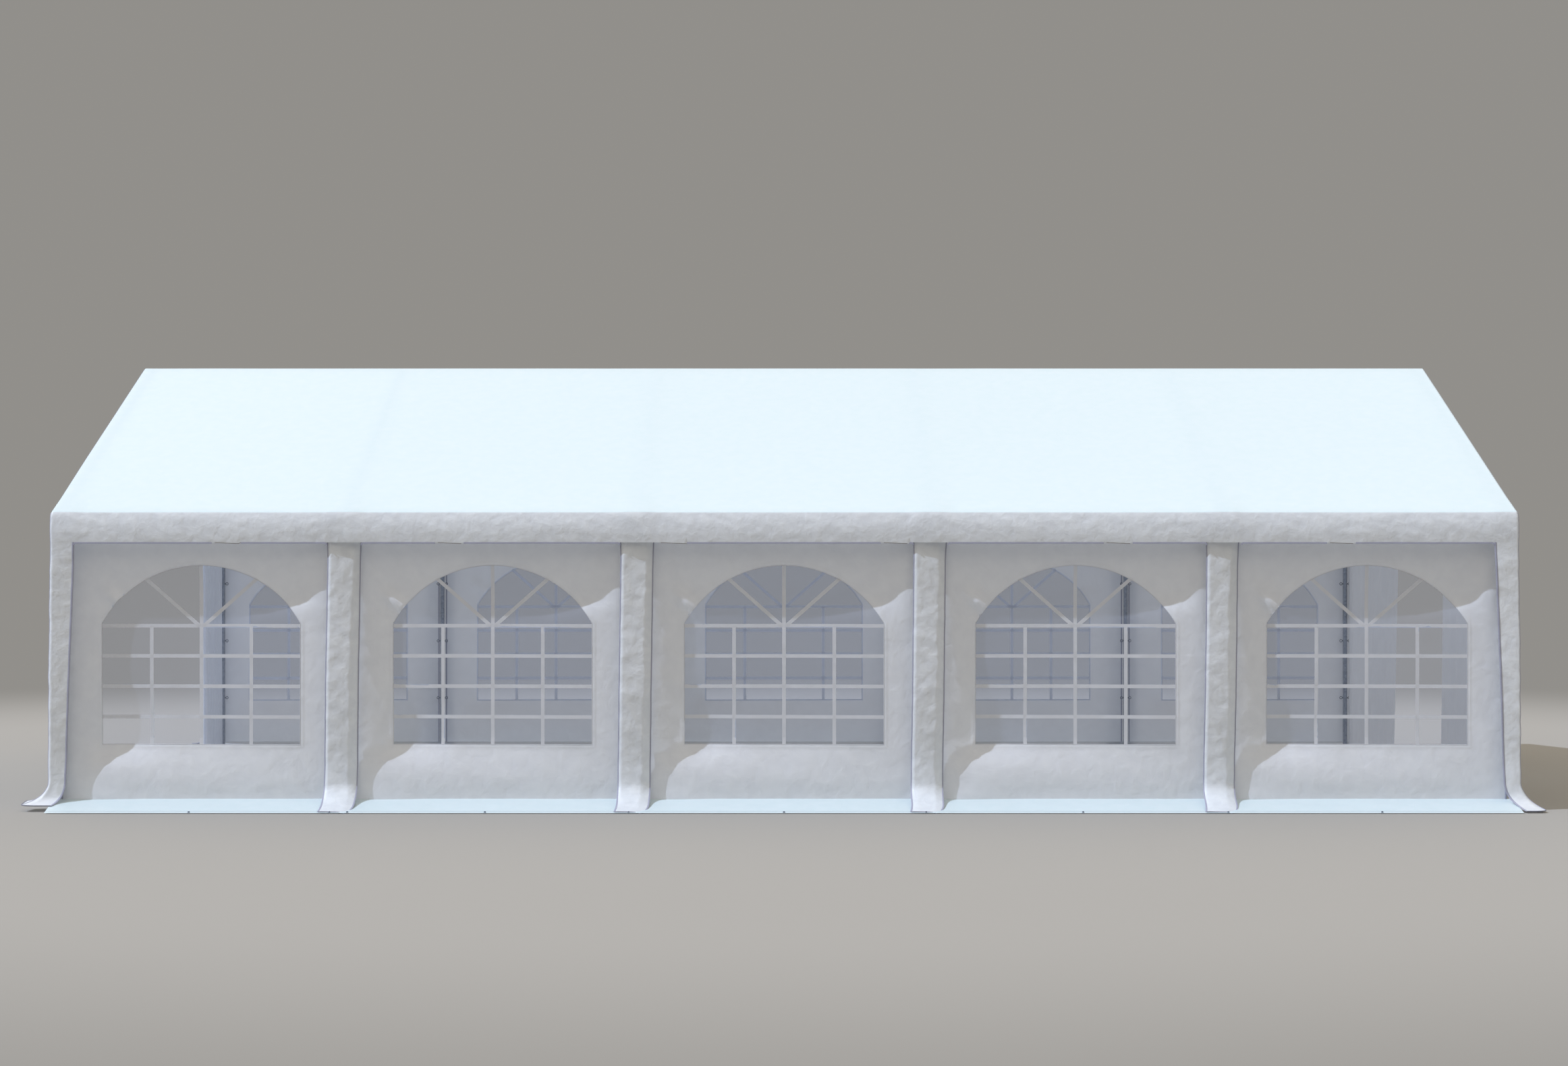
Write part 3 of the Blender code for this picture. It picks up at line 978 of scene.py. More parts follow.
@dataclass
class GablePanel:
    """The triangle under one end of the roof, with the end valance below it."""

    end: End
    roof: RoofCover
    column: float = 0.04
    seam_height: float = 2.045
    seam_width: float = 0.03
    set_back: float = 1.5 * MM
    wrinkles: tuple[Wrinkles, ...] = (
        Wrinkles(12.0 * MM, 1.4),
        Wrinkles(2.5 * MM, 0.3, seed=1, slant_a=0.5),
        Wrinkles(2.0 * MM, 0.35, seed=2, slant_a=-0.4, folded=True),
    )

    def top(self, y: float) -> float:
        """The height of the panel's upper edge at y, tucked under the roof's turned end."""
        reach = abs(y)
        tuck = 0.75 * self.roof.end_radius(self.end.value, reach)
        return self.roof.height(reach) - tuck / math.cos(TENT.slope)

    def relief(self, y: float, z: float, share: float) -> float:
        """How far the panel stands out from its plane."""
        loose = min(1.0, 4 * share * (1 - share)) * ease(3.0, 2.6, abs(y))
        return loose * rumple(self.wrinkles, y, z, 11.0 + self.end.value) - self.set_back

    def build(self) -> None:
        """Makes the panel and its edge binding."""
        sign, foot = self.end.value, TENT.valance_foot
        reach = TENT.half_width - 16 * MM
        ys = spaced(-reach, reach, self.column)
        low = self.top(reach) - 5 * MM
        rows = [[self.spot(y, z) for y in ys] for z in spaced(foot, low, 0.02)]
        for share in spaced(0.0, 1.0, 1 / 30)[1:]:
            rows.append([self.spot(y, between(low, self.top(y), share)) for y in ys])
        cloth = PieceMesh(rows)
        lowest = self.seam_height + self.seam_width
        seam = [self.spot(y, self.seam_height).point for y in ys if self.top(y) > lowest]
        cloth.add_sweep(seam, strip(self.seam_width, 2 * MM), UP)
        name = f"gable_panel_{self.end.label}"
        panel = cloth.build(name + "_cloth", Slot.ROOF, COVER_CLOTH, [name])
        tape = PieceMesh()
        tape.add_sweep([spot.point + 4.5 * MM * UP for spot in rows[0]], oval(9 * MM, 4 * MM), UP)
        binding = tape.build(name + "_binding", Slot.ROOF, GAP_SHADE_BINDING)
        width, height = 2 * reach, self.top(0.0) - foot
        width * (self.top(reach) - foot) + width * (self.top(0.0) - self.top(reach)) / 2

    def spot(self, y: float, z: float) -> Spot:
        """A point of the panel and its flat place."""
        share = (z - TENT.valance_foot) / (self.top(y) - TENT.valance_foot)
        swell = TENT.swell(self.end.value) * ease(2.6, 2.9, abs(y)) * ease(2.10, 2.0, z)
        x = self.end.value * (TENT.half_length + swell + self.relief(y, z, share))
        return Spot(Vector((x, y, z)), (y, z))


# Leg covers


def flare_profile(reach: float, start: float, foot: float, top: float) -> list[Pair]:
    """How far out and how high a cover's face is, from its top down its flare to its foot.

    Args:
        reach: how far the foot stands out.
        start: the height where the flare starts.
        foot: the height of its foot.
        top: the height of its top.

    Returns:
        (out, height) pairs, from the top down.
    """
    points = [(0.0, z) for z in spaced(top, start, 0.02)]
    for t in spaced(0.0, 1.0, 1 / 18)[1:]:
        points.append((reach * t**2, bend(start, start / 2, foot, t)))
    return points


def cover_belly(z: float) -> float:
    """How far a cover's face swells out about its middle and falls in above its flare."""
    return 12 * MM * (swelling(z, 0.95, 0.35) - swelling(z, 0.35, 0.17))


@dataclass
class LegCover:
    """A strip of cloth over an inner post, crowned over the tube and flared at its foot."""

    side: Side
    number: int
    lean: float = -0.03
    width: float = 0.223
    low_width: float = 0.208
    reach: float = 0.205
    flare_start: float = 0.19
    band_start: float = 0.50
    band_slope: float = 0.46
    band_power: float = 1.25
    band_narrows: float = 0.12
    narrows_z: Span = (1.2, 1.8)
    band_wander: tuple[Wrinkles, ...] = (Wrinkles(0.20, 0.42), Wrinkles(0.09, 0.09, seed=0.5))
    wobble: Wrinkles = Wrinkles(2.0 * MM, 0.15)
    roll_start: float = 0.80
    roll_depth: float = 0.009
    roll_power: float = 1.7
    fall_back: float = 0.027
    top_back: float = 0.003
    top_back_z: Span = (1.50, 1.83)
    clear_of_roof: Span = (1.92, 1.82)
    at_foot: Span = (0.20, 0.03)
    foot_return: float = 0.75
    dents_top: Span = (1.90, 1.78)
    dents_foot: Span = (0.16, 0.04)
    foot_calm: float = 0.8
    foot_round: Span = (0.058, 0.13)
    foot_skew: float = 0.012
    binding_width: float = 15 * MM
    columns: int = 36
    wrinkles: tuple[Wrinkles, ...] = (
        Wrinkles(5.0 * MM, 0.10, slant_b=0.4, stretch=1.4),
        Wrinkles(2.4 * MM, 0.045, seed=1, slant_b=-0.5, stretch=2.2),
        Wrinkles(3.0 * MM, 0.16, seed=2, slant_b=0.3, stretch=1.5, folded=True),
    )

    def profile(self) -> list[Pair]:
        """The cover's profile from its top to its foot."""
        foot = TENT.flap_top(TENT.cover_y + self.reach) + 5.5 * MM
        return flare_profile(self.reach, self.flare_start, foot, TENT.cover_top)

    def back(self, a: float, z: float) -> float:
        """How far the face lies back at a, from -1 at its left edge to 1 at its right."""
        seed = 20.0 + self.number + 10 * self.side.value
        start = self.band_start + rumple(self.band_wander, 0.0, z, seed)
        start += self.band_narrows * ease(*self.narrows_z, z)
        band = 1 - start
        right = self.band_slope * band * self.width / 2
        right *= max(0.0, (a - start) / band) ** self.band_power
        rolled = max(0.0, (-a - self.roll_start) / (1 - self.roll_start))
        left = self.roll_depth * rolled**self.roll_power
        low = right + left + self.fall_back * (a + 1) / 2
        low *= ease(*self.clear_of_roof, z) * (1 - self.foot_return * ease(*self.at_foot, z))
        return low + self.top_back * ease(*self.top_back_z, z) - cover_belly(z)

    def relief(self, a: float, z: float) -> float:
        """How far the cloth stands out in dents and creases."""
        seed = 30.0 + self.number + 10 * self.side.value
        free = ease(*self.dents_top, z) * (1 - self.foot_calm * ease(*self.dents_foot, z))
        return free * rumple(self.wrinkles, a * self.width / 2, z, seed)

    def build(self) -> None:
        """Makes the cover and the binding along its edges."""
        profile = measured(self.profile())
        post_x = TENT.post_xs[self.number - 1]
        sign = self.side.value
        foot_distance = profile[-1].distance
        turns = spaced(-math.pi / 2, math.pi / 2, math.pi / self.columns)
        rows: list[list[Spot]] = []
        for spot in profile:
            z, distance = spot.z, spot.distance
            narrow = between(self.width, self.low_width, ease(1.95, 1.70, z))
            share = max(0.0, 1 - (foot_distance - distance) / self.foot_round[1])
            inset = self.foot_round[0] * (1 - math.sqrt(1 - share**2))
            middle = post_x + self.lean * (1 - z / TENT.cover_top)
            middle += self.wobble.rise(0.0, z, 40.0 + self.number)
            row = []
            for turn in turns:
                a = math.sin(turn)
                half = narrow / 2 - inset if a > 0 else narrow / 2 + self.foot_skew * share**2
                rise = self.relief(a, z) - self.back(a, z)
                y = sign * (TENT.cover_y + spot.y + rise * spot.normal.y)
                place = Vector((middle + a * half, y, z + rise * spot.normal.z))
                row.append(Spot(place, (a * self.width / 2, -distance)))
            rows.append(row)
        name = f"{self.side.label}_leg_cover_{self.number}"
        cover = PieceMesh(rows).build(name + "_cloth", Slot.COVER, COVER_CLOTH, [name])
        tape = PieceMesh()
        for index, inward in ((0, 1), (-1, -1)):
            shift = Vector((-1 * MM * inward, -2 * MM * sign, 0))
            path = [row[index].point + shift for row in rows]
            tape.add_sweep(path, oval(self.binding_width, 4 * MM), ALONG)
        foot = [spot.point for spot in rows[-1]]
        # The foot's tape takes the dark tape, as painted shade under the rolled foot.
        tape.add_sweep(foot, oval(9 * MM, 7 * MM), Vector((0, sign, -0.1)), second=True)
        binding = tape.build(name + "_binding", Slot.COVER, GAP_SHADE_BINDING, second=FOOT_SHADE_TAPE)


@dataclass
class CornerCover:
    """An angle of cloth round a corner post, welded under the valance and flared at its foot."""

    side: Side
    end: End
    reach_x: float
    reach_y: float
    foot_lifts: Span
    foot_width: float
    fall_back: float
    corner_radius: float
    low_width: float = 0.113
    splay: float = 0.020
    flare_start: float = 0.20
    foot_radius: float = 0.060
    top_slope: float = 0.05
    top_relax: float = 0.07
    draw_in: float = 0.7
    draw_in_span: Span = (0.05, 0.6)
    dents_foot: Span = (0.1, 0.03)
    foot_calm: float = 0.8
    late: float = 2.5
    binding_width: float = 16 * MM
    columns: int = 22
    wrinkles: tuple[Wrinkles, ...] = (
        Wrinkles(3.6 * MM, 0.11, stretch=1.4),
        Wrinkles(1.8 * MM, 0.05, seed=2, slant_b=-0.4, stretch=1.8),
        Wrinkles(2.4 * MM, 0.20, seed=1, slant_b=0.3, stretch=1.4, folded=True),
    )

    def plan(self, corner: Vector, width: float, radius: float) -> list[Vector]:
        """The cover's line at one height in the +X +Y quarter, from leg to leg.

        Args:
            corner: where its two legs would meet.
            width: how wide each leg is.
            radius: the corner's radius.

        Returns:
            Points from the free edge of the long side's leg to that of the end's leg.
        """
        centre, reach = corner - Vector((radius, radius, 0)), width - radius
        shares = [k / self.columns for k in range(self.columns)]
        leg = [Vector((corner.x - width + reach * t, corner.y, corner.z)) for t in shares]
        turned = [
            centre + radius * Vector((math.sin(turn), math.cos(turn), 0))
            for turn in spaced(0.0, math.pi / 2, math.pi / 16)
        ]
        other = [Vector((corner.x, corner.y - radius - reach * (1 - t), corner.z)) for t in shares]
        return leg + turned + other[::-1]

    def build(self) -> None:
        """Makes the cover and the binding along its edges."""
        sign = Vector((self.end.value, self.side.value, 1))
        seed = 50.0 + self.side.value + 3 * self.end.value
        foot = TENT.flap_top(TENT.cover_y + self.reach_y) + 2 * MM
        top = TENT.valance_foot + 1 * MM
        top_y = RoofCover.fullest - RoofCover.hang_in
        profile = flare_profile(1.0, self.flare_start, foot, top)
        rows: list[list[Spot]] = []
        distance = 0.0
        for k, (out, z) in enumerate(profile):
            low = min(1.0, (top - z) / (top - self.flare_start))
            relax = min(1.0, (top - z) / self.top_relax)
            start_y = top_y - self.top_slope * self.top_relax * relax * (2 - relax)
            drawn_in = (TENT.cover_y - top_y) * self.draw_in * ease(*self.draw_in_span, low)
            start_y += drawn_in + cover_belly(z)
            start_x = TENT.half_length + TENT.swell(self.end.value) + self.splay * low
            forward = out**self.late
            corner = Vector((start_x + self.reach_x * out, start_y + self.reach_y * forward, z))
            width = between(TENT.corner_cover, self.low_width, low)
            width += (self.foot_width - self.low_width) * out
            radius = between(self.corner_radius, self.foot_radius, ease(0.0, 1.0, out))
            if k:
                last_out, last_z = profile[k - 1]
                step = self.reach_y * (forward - last_out**self.late)
                distance += math.hypot(step, z - last_z)
            line = self.plan(corner, width, radius)
            row, along = [], 0.0
            for index, point in enumerate(line):
                along += (point - line[index - 1]).length if index else 0.0
                rise = rumple(self.wrinkles, along, z, seed)
                rise *= ease(top, top - 0.10, z) * (1 - self.foot_calm * ease(*self.dents_foot, z))
                away = Vector((point.x - corner.x + width, point.y - corner.y + width, 0))
                moved = point + away.normalized() * rise
                beside = min(1.0, max(0.0, (corner.x - radius - point.x) / (width - radius)))
                moved.y -= self.fall_back * beside * ease(0.0, 0.12, low) * (1 - out)
                turned = ease(0.3, 1.0, index / (len(line) - 1))
                moved.z += between(*self.foot_lifts, turned) * out**3
                row.append(Spot(moved * sign, (along - width, -distance)))
            rows.append(row)
        name = f"corner_cover_{self.side.label}_{self.end.label}"
        cover = PieceMesh(rows).build(name + "_cloth", Slot.COVER, COVER_CLOTH, [name])
        tape = PieceMesh()
        edge = oval(self.binding_width, 4 * MM)
        tape.add_sweep([row[0].point for row in rows], edge, ALONG)
        tape.add_sweep([row[-1].point for row in rows], edge, ACROSS)
        # The foot's tape takes the dark tape, as painted shade under the rolled foot.
        tape.add_sweep([spot.point for spot in rows[-1]], oval(8 * MM, 6 * MM), UP, second=True)
        # The corner piping is dark partly as painted shade, for the face that turns away at the
        # corner.
        turned = self.columns + 7
        tape.add_sweep([row[turned].point for row in rows], oval(7 * MM, 7 * MM), ALONG)
        binding = tape.build(name + "_binding", Slot.COVER, GAP_SHADE_BINDING, second=FOOT_SHADE_TAPE)


# Walls and windows


@dataclass(frozen=True)
class ArchOpening:
    """A window's opening: a sill and two sides under a segment of a circle."""

    half: float = 0.684
    sill: float = 0.445
    spring: float = 1.278
    rise: float = 0.396
    middle: float = 0.95

    @property
    def radius(self) -> float:
        """The arch's radius."""
        return (self.half**2 + self.rise**2) / (2 * self.rise)

    @property
    def hub(self) -> float:
        """The height of the arch's centre."""
        return self.spring + self.rise - self.radius

    def reach(self, angle: float, grow: float) -> float:
        """How far the opening's edge is from its middle.

        Args:
            angle: the direction, from 0 along +X.
            grow: how much bigger than the opening the outline is.

        Returns:
            The distance in metres.
        """
        across, up = math.cos(angle), math.sin(angle)
        far = (self.half + grow) / max(abs(across), 1e-9)
        if up < 0:
            far = min(far, (self.middle - self.sill + grow) / -up)
        if self.middle + far * up > self.spring:
            drop = self.middle - self.hub
            radius = self.radius + grow
            far = min(far, -drop * up + math.sqrt((drop * up) ** 2 - drop**2 + radius**2))
        return far

    def top(self, x: float, grow: float) -> float:
        """The height of the arch at a distance x from its middle."""
        radius = self.radius + grow
        return self.hub + math.sqrt(radius**2 - x * x)


OPENING = ArchOpening()


@dataclass
class WallPanel:
    """One bay of a long wall, with its arched opening."""

    side: Side
    number: int
    weld: float = 0.022
    weld_rise: float = 0.3 * MM
    bead: float = 4 * MM
    gap: float = 0.033
    held_edge: float = 0.12
    held_top: float = 0.08
    tuck: float = 0.010
    tuck_x: Span = (0.20, 0.60)
    tuck_z: Span = (0.20, 0.08)
    high: Span = (1.20, 1.45)
    recess: float = 0.048
    recess_left: float = 0.30
    recess_right: tuple[float, float, float] = (0.13, 1.20, 0.40)
    recess_z: Span = (0.21, 0.50)
    recess_top: float = 1.40
    sill_recess: float = 0.036
    sill_x: tuple[Span, Span] = ((0.10, 0.41), (0.78, 0.42))
    sill_z: tuple[Span, Span] = ((0.28, 0.50), (0.95, 0.56))
    shoulder: float = 0.020
    shoulder_x: Span = (0.25, 0.04)
    shoulder_top: float = 1.75
    stiff_fold: float = 0.040
    fold_x: Span = (-0.57, -0.67)
    fold_z: float = 1.43
    fold_slope: float = 0.6
    fold_reach: Span = (0.08, 0.055)
    wrinkles: tuple[Wrinkles, ...] = (
        Wrinkles(5.0 * MM, 0.55),
        Wrinkles(3.0 * MM, 0.17, seed=1, slant_a=0.5),
        Wrinkles(2.0 * MM, 0.30, seed=3, slant_a=1.0, folded=True),
    )

    @property
    def middle(self) -> float:
        """The middle of the bay."""
        return TENT.window_xs[self.number - 1]

    @property
    def limits(self) -> Span:
        """The panel's left and right edges from the middle of its bay."""
        reach = TENT.end_post_x + TENT.tube_radius
        left = max(-TENT.bay / 2 + self.gap, -reach - self.middle)
        right = min(TENT.bay / 2 - self.gap, reach - self.middle)
        return left, right

    def edge(self, angle: float) -> float:
        """How far the panel's edge is from the opening's middle in a direction."""
        left, right = self.limits
        across, up = math.cos(angle), math.sin(angle)
        far = (right if across > 0 else -left) / max(abs(across), 1e-9)
        height = TENT.wall_top if up > 0 else TENT.wall_foot
        return min(far, abs(height - OPENING.middle) / max(abs(up), 1e-9))

    def relief(self, x: float, z: float) -> float:
        """How far the wall stands out at a distance x from the middle of its bay."""
        seed = 60.0 + self.number + 10 * self.side.value
        left, right = self.limits
        loose = ease(0.0, self.held_edge, min(x - left, right - x))
        loose *= ease(0.0, self.held_top, TENT.wall_top - z)
        out = rumple(self.wrinkles, x, z, seed)
        out -= self.tuck * ease(*self.tuck_z, z) * (1.5 * ease(*self.tuck_x, x - left) - 0.5)
        high = ease(*self.high, z)
        start, low_end, high_end = self.recess_right
        across = ease(start, between(low_end, high_end, high), right - x)
        across *= ease(0.0, self.recess_left, x - left)
        out -= self.recess * across * within(self.recess_z, (TENT.wall_top, self.recess_top), z)
        out -= self.sill_recess * within(*self.sill_x, x - left) * within(*self.sill_z, z)
        at_shoulder = ease(*self.shoulder_x, right - x) * high
        out += self.shoulder * at_shoulder * ease(TENT.wall_top, self.shoulder_top, z)
        fold_x = self.fold_x[min(self.number - 1, 1)]
        fall = z - self.fold_z + self.fold_slope * (x - fold_x)
        at_fold = swelling(x, fold_x, self.fold_reach[0]) * swelling(fall, 0.0, self.fold_reach[1])
        return loose * (out + self.stiff_fold * at_fold)

    def angles(self) -> list[float]:
        """The directions of the panel's spokes, with its corners among them."""
        left, right = self.limits
        corners = [(x, z) for x in (left, right) for z in (TENT.wall_foot, TENT.wall_top)]
        for grow in (0.0, self.weld):
            half = OPENING.half + grow
            corners += [(s * half, OPENING.sill - grow) for s in (-1, 1)]
        corners += [(s * OPENING.half, OPENING.spring) for s in (-1, 1)]
        exact = {math.atan2(z - OPENING.middle, x) % (2 * math.pi) for x, z in corners}
        kept = [a for a in full_turn(260) if all(abs(a - b) > 0.004 for b in exact)]
        return sorted([*kept, *exact])

    def place(self, x: float, z: float, rise: float) -> Spot:
        """A point of the wall and its flat place."""
        y = TENT.wall_y + self.relief(x, z) + rise
        return Spot(Vector((self.middle + x, self.side.value * y, z)), (x, z))

    def on_spoke(self, angle: float, far: float, rise: float = 0.0) -> Spot:
        """A point of the wall at a distance far from the opening's middle in a direction."""
        return self.place(far * math.cos(angle), OPENING.middle + far * math.sin(angle), rise)

    def build(self) -> None:
        """Makes the panel with the bead round its opening and the tapes of its edges."""
        seam = [(0.0, 1.0), (0.6 * self.weld, 1.0), (self.weld - MM, 1.0), (self.weld, 0.0)]
        rows: list[list[Spot]] = []
        for angle in self.angles():
            near, edge = OPENING.reach(angle, self.weld), self.edge(angle)
            spoke = [
                self.on_spoke(angle, OPENING.reach(angle, grow), raised * self.weld_rise)
                for grow, raised in seam
            ]
            for share in spaced(0.0, 1.0, 1 / 15)[1:]:
                spoke.append(self.on_spoke(angle, between(near, edge, share)))
            rows.append(spoke)
        rows.append(rows[0])
        name = f"{self.side.label}_wall_panel_{self.number}"
        panel = PieceMesh(rows).build(name, Slot.WALL, WALL_CLOTH, [f"{self.side.label}_wall"])
        window = 2 * OPENING.half * (OPENING.spring - OPENING.sill)
        window += 2 * OPENING.half * OPENING.rise * 0.68
        self.build_trim(name, rows)
        self.build_edges(name)

    def build_trim(self, name: str, rows: Sequence[Sequence[Spot]]) -> bpy.types.Object:
        """Makes the welded bead round the opening."""
        shape = PieceMesh()
        path = [row[0].point for row in rows[:-1]]
        shape.add_sweep(path, oval(self.bead, self.bead, 6), ACROSS, closed=True)
        return shape.build(name + "_bead", Slot.WALL, BAR_STRIP)

    def build_edges(self, name: str) -> bpy.types.Object:
        """Makes the tape along the panel's two upright edges, dark so that it also paints the shade of
        the gap beside the covers.
        """
        shape = PieceMesh()
        for x in self.limits:
            heights = spaced(TENT.wall_foot, TENT.wall_top, 0.05)
            path = [self.place(x, z, 0.0).point for z in heights]
            shape.add_sweep(path, oval(12 * MM, 4 * MM), ALONG)
        return shape.build(name + "_binding", Slot.WALL, GAP_SHADE_BINDING)


@dataclass
class Window:
    """A clear film behind an opening, with the flat bars that are welded on to it."""

    panel: WallPanel
    lap: float = 0.010
    set_back: float = 2.6 * MM
    bar_width: float = 25 * MM
    rails: tuple[float, ...] = (1.259, 1.052, 0.844, 0.634)
    stiles: tuple[float, ...] = (-0.343, 0.345)
    ray_foot: float = 0.015
    ray_top: Pair = (0.386, 1.586)
    bar_lap: float = 4 * MM
    bar_rise: float = 0.7 * MM
    bar_step: float = 0.12 * MM

    def place(self, x: float, z: float, rise: float = 0.0) -> Vector:
        """A point of the film, or of something that lies on it."""
        return self.panel.place(x, z, rise - self.set_back).point

    def bar_paths(self) -> list[tuple[Pair, Pair]]:
        """The ends of each bar's middle line, from the middle of the bay."""
        reach, low = OPENING.half + self.bar_lap, OPENING.sill - self.bar_lap
        hub, crown = self.rails[0], OPENING.spring + OPENING.rise + self.bar_lap
        bars = [((-reach, z), (reach, z)) for z in self.rails]
        bars += [((x, low), (x, hub)) for x in self.stiles]
        bars.append(((0.0, low), (0.0, crown)))
        bars += [((s * self.ray_foot, hub), (s * self.ray_top[0], self.ray_top[1])) for s in (-1, 1)]
        return bars

    def build(self) -> None:
        """Makes the film and its bars."""
        side, number = self.panel.side.label, self.panel.number
        reach = OPENING.half + self.lap
        low = OPENING.sill - self.lap
        columns = spaced(-reach, reach, 0.025)
        rows = []
        for share in spaced(0.0, 1.0, 1 / 50):
            places = [(x, between(low, OPENING.top(x, self.lap), share)) for x in columns]
            rows.append([Spot(self.place(*place), place) for place in places])
        replaced = [f"{side}_window_film"]
        film = PieceMesh(rows).build(f"{side}_window_film_{number}", Slot.FILM, FILM, replaced)
        strips = PieceMesh()
        for order, (start, end) in enumerate(self.bar_paths()):
            rise = self.bar_rise + order * self.bar_step
            count = max(2, round(math.dist(start, end) / 0.05))
            shares = [k / count for k in range(count + 1)]
            path = [self.place(*(between(a, b, t) for a, b in zip(start, end)), rise) for t in shares]
            along = (path[-1] - path[0]).normalized()
            half = along.cross(self.panel.side.value * ACROSS) * self.bar_width / 2
            strips.add_rows([[Spot(p - half, (p.x, p.z)), Spot(p + half, (p.x, p.z))] for p in path])
        bars = strips.build(f"{side}_window_bars_{number}", Slot.FILM, BAR_STRIP, smooth=False)
        OPENING.top(0.0, self.lap) - low
        0.93 * 2 * reach * (OPENING.top(0.0, self.lap) - low)


@dataclass
class GroundFlap:
    """The strip from the foot of a long wall out on to the ground, with its eyelets and pegs."""

    side: Side
    half_length: float = 4.995
    hem: float = 0.03
    tucked: float = 13 * MM
    eyelet: float = 6.5 * MM
    peg_wire: float = 5 * MM
    peg_head: Pair = (5.5 * MM, 5 * MM)
    peg_inset: float = 12 * MM
    peg_xs: tuple[float, ...] = (-4.02, -3.07, -2.95, -2.02, -1.05, 0.0, 0.96, 2.02, 3.0, 4.04)
    bow: float = 4 * MM
    hem_rise: float = 1.2 * MM
    hem_step: float = 0.004
    wave: Wrinkles = Wrinkles(2.5 * MM, 0.5, seed=2)
    wrinkles: tuple[Wrinkles, ...] = (Wrinkles(3.5 * MM, 0.28), Wrinkles(1.5 * MM, 0.09, seed=1))

    def place(self, x: float, share: float) -> Vector:
        """A point of the flap, from share 0 at the wall to 1 at its hem."""
        seed = 90.0 + self.side.value
        y = TENT.wall_y - self.tucked + share * (TENT.flap_reach + self.tucked)
        z = TENT.flap_top(y) - 0.5 * MM + self.bow * math.sin(math.pi * share)
        free = math.sin(math.pi * min(1.0, share * 1.1))
        z += free * rumple(self.wrinkles, x, y, seed)
        wave = share * self.wave.rise(x, 0.0, seed)
        if share > 1 - self.hem / TENT.flap_reach:
            z += self.hem_rise
        return Vector((x, self.side.value * (y + wave), max(z, 2.5 * MM)))

    def build(self) -> None:
        """Makes the flap with its hem, eyelets and pegs."""
        side = self.side.label
        edge = 1 - self.hem / TENT.flap_reach
        shares = [*spaced(0.0, edge, 0.09), *spaced(edge + self.hem_step, 1.0, 0.05)]
        columns = spaced(-self.half_length, self.half_length, 0.03)
        rows = [
            [Spot(self.place(x, share), (x, -share * TENT.flap_reach)) for x in columns]
            for share in shares
        ]
        name = f"ground_flap_{side}"
        # The flap faces up, so it takes the cloth tinted for top light, as painted light.
        flap = PieceMesh(rows).build(name + "_cloth", Slot.WALL, TOP_LIGHT_CLOTH, [name])
        pegs = self.build_pegs()

    def build_pegs(self) -> bpy.types.Object:
        """Makes the eyelets in the hem and the bent heads of the pegs through them.

        Returns:
            The eyelets and pegs as one piece.
        """
        sign, (head_x, head_z) = self.side.value, self.peg_head
        shape = PieceMesh()
        for x in self.peg_xs:
            middle = self.place(x, 1 - self.peg_inset / TENT.flap_reach) + 0.8 * MM * UP
            ring = arc(middle, self.eyelet, ALONG, ACROSS, full_turn(16))
            shape.add_sweep(ring, oval(3 * MM, 2 * MM), UP, closed=True)
            wire = [
                middle + Vector((head_x * math.cos(turn), -sign * MM, head_z * math.sin(turn)))
                for turn in spaced(0.0, math.pi, math.pi / 10)
            ]
            wire.insert(0, Vector((wire[0].x, wire[0].y, MM)))
            wire.append(Vector((wire[-1].x, wire[-1].y, MM)))
            shape.add_sweep(wire, oval(self.peg_wire, self.peg_wire), ACROSS)
        return shape.build(f"ground_flap_{self.side.label}_pegs", Slot.STEEL, WIRE_STEEL)


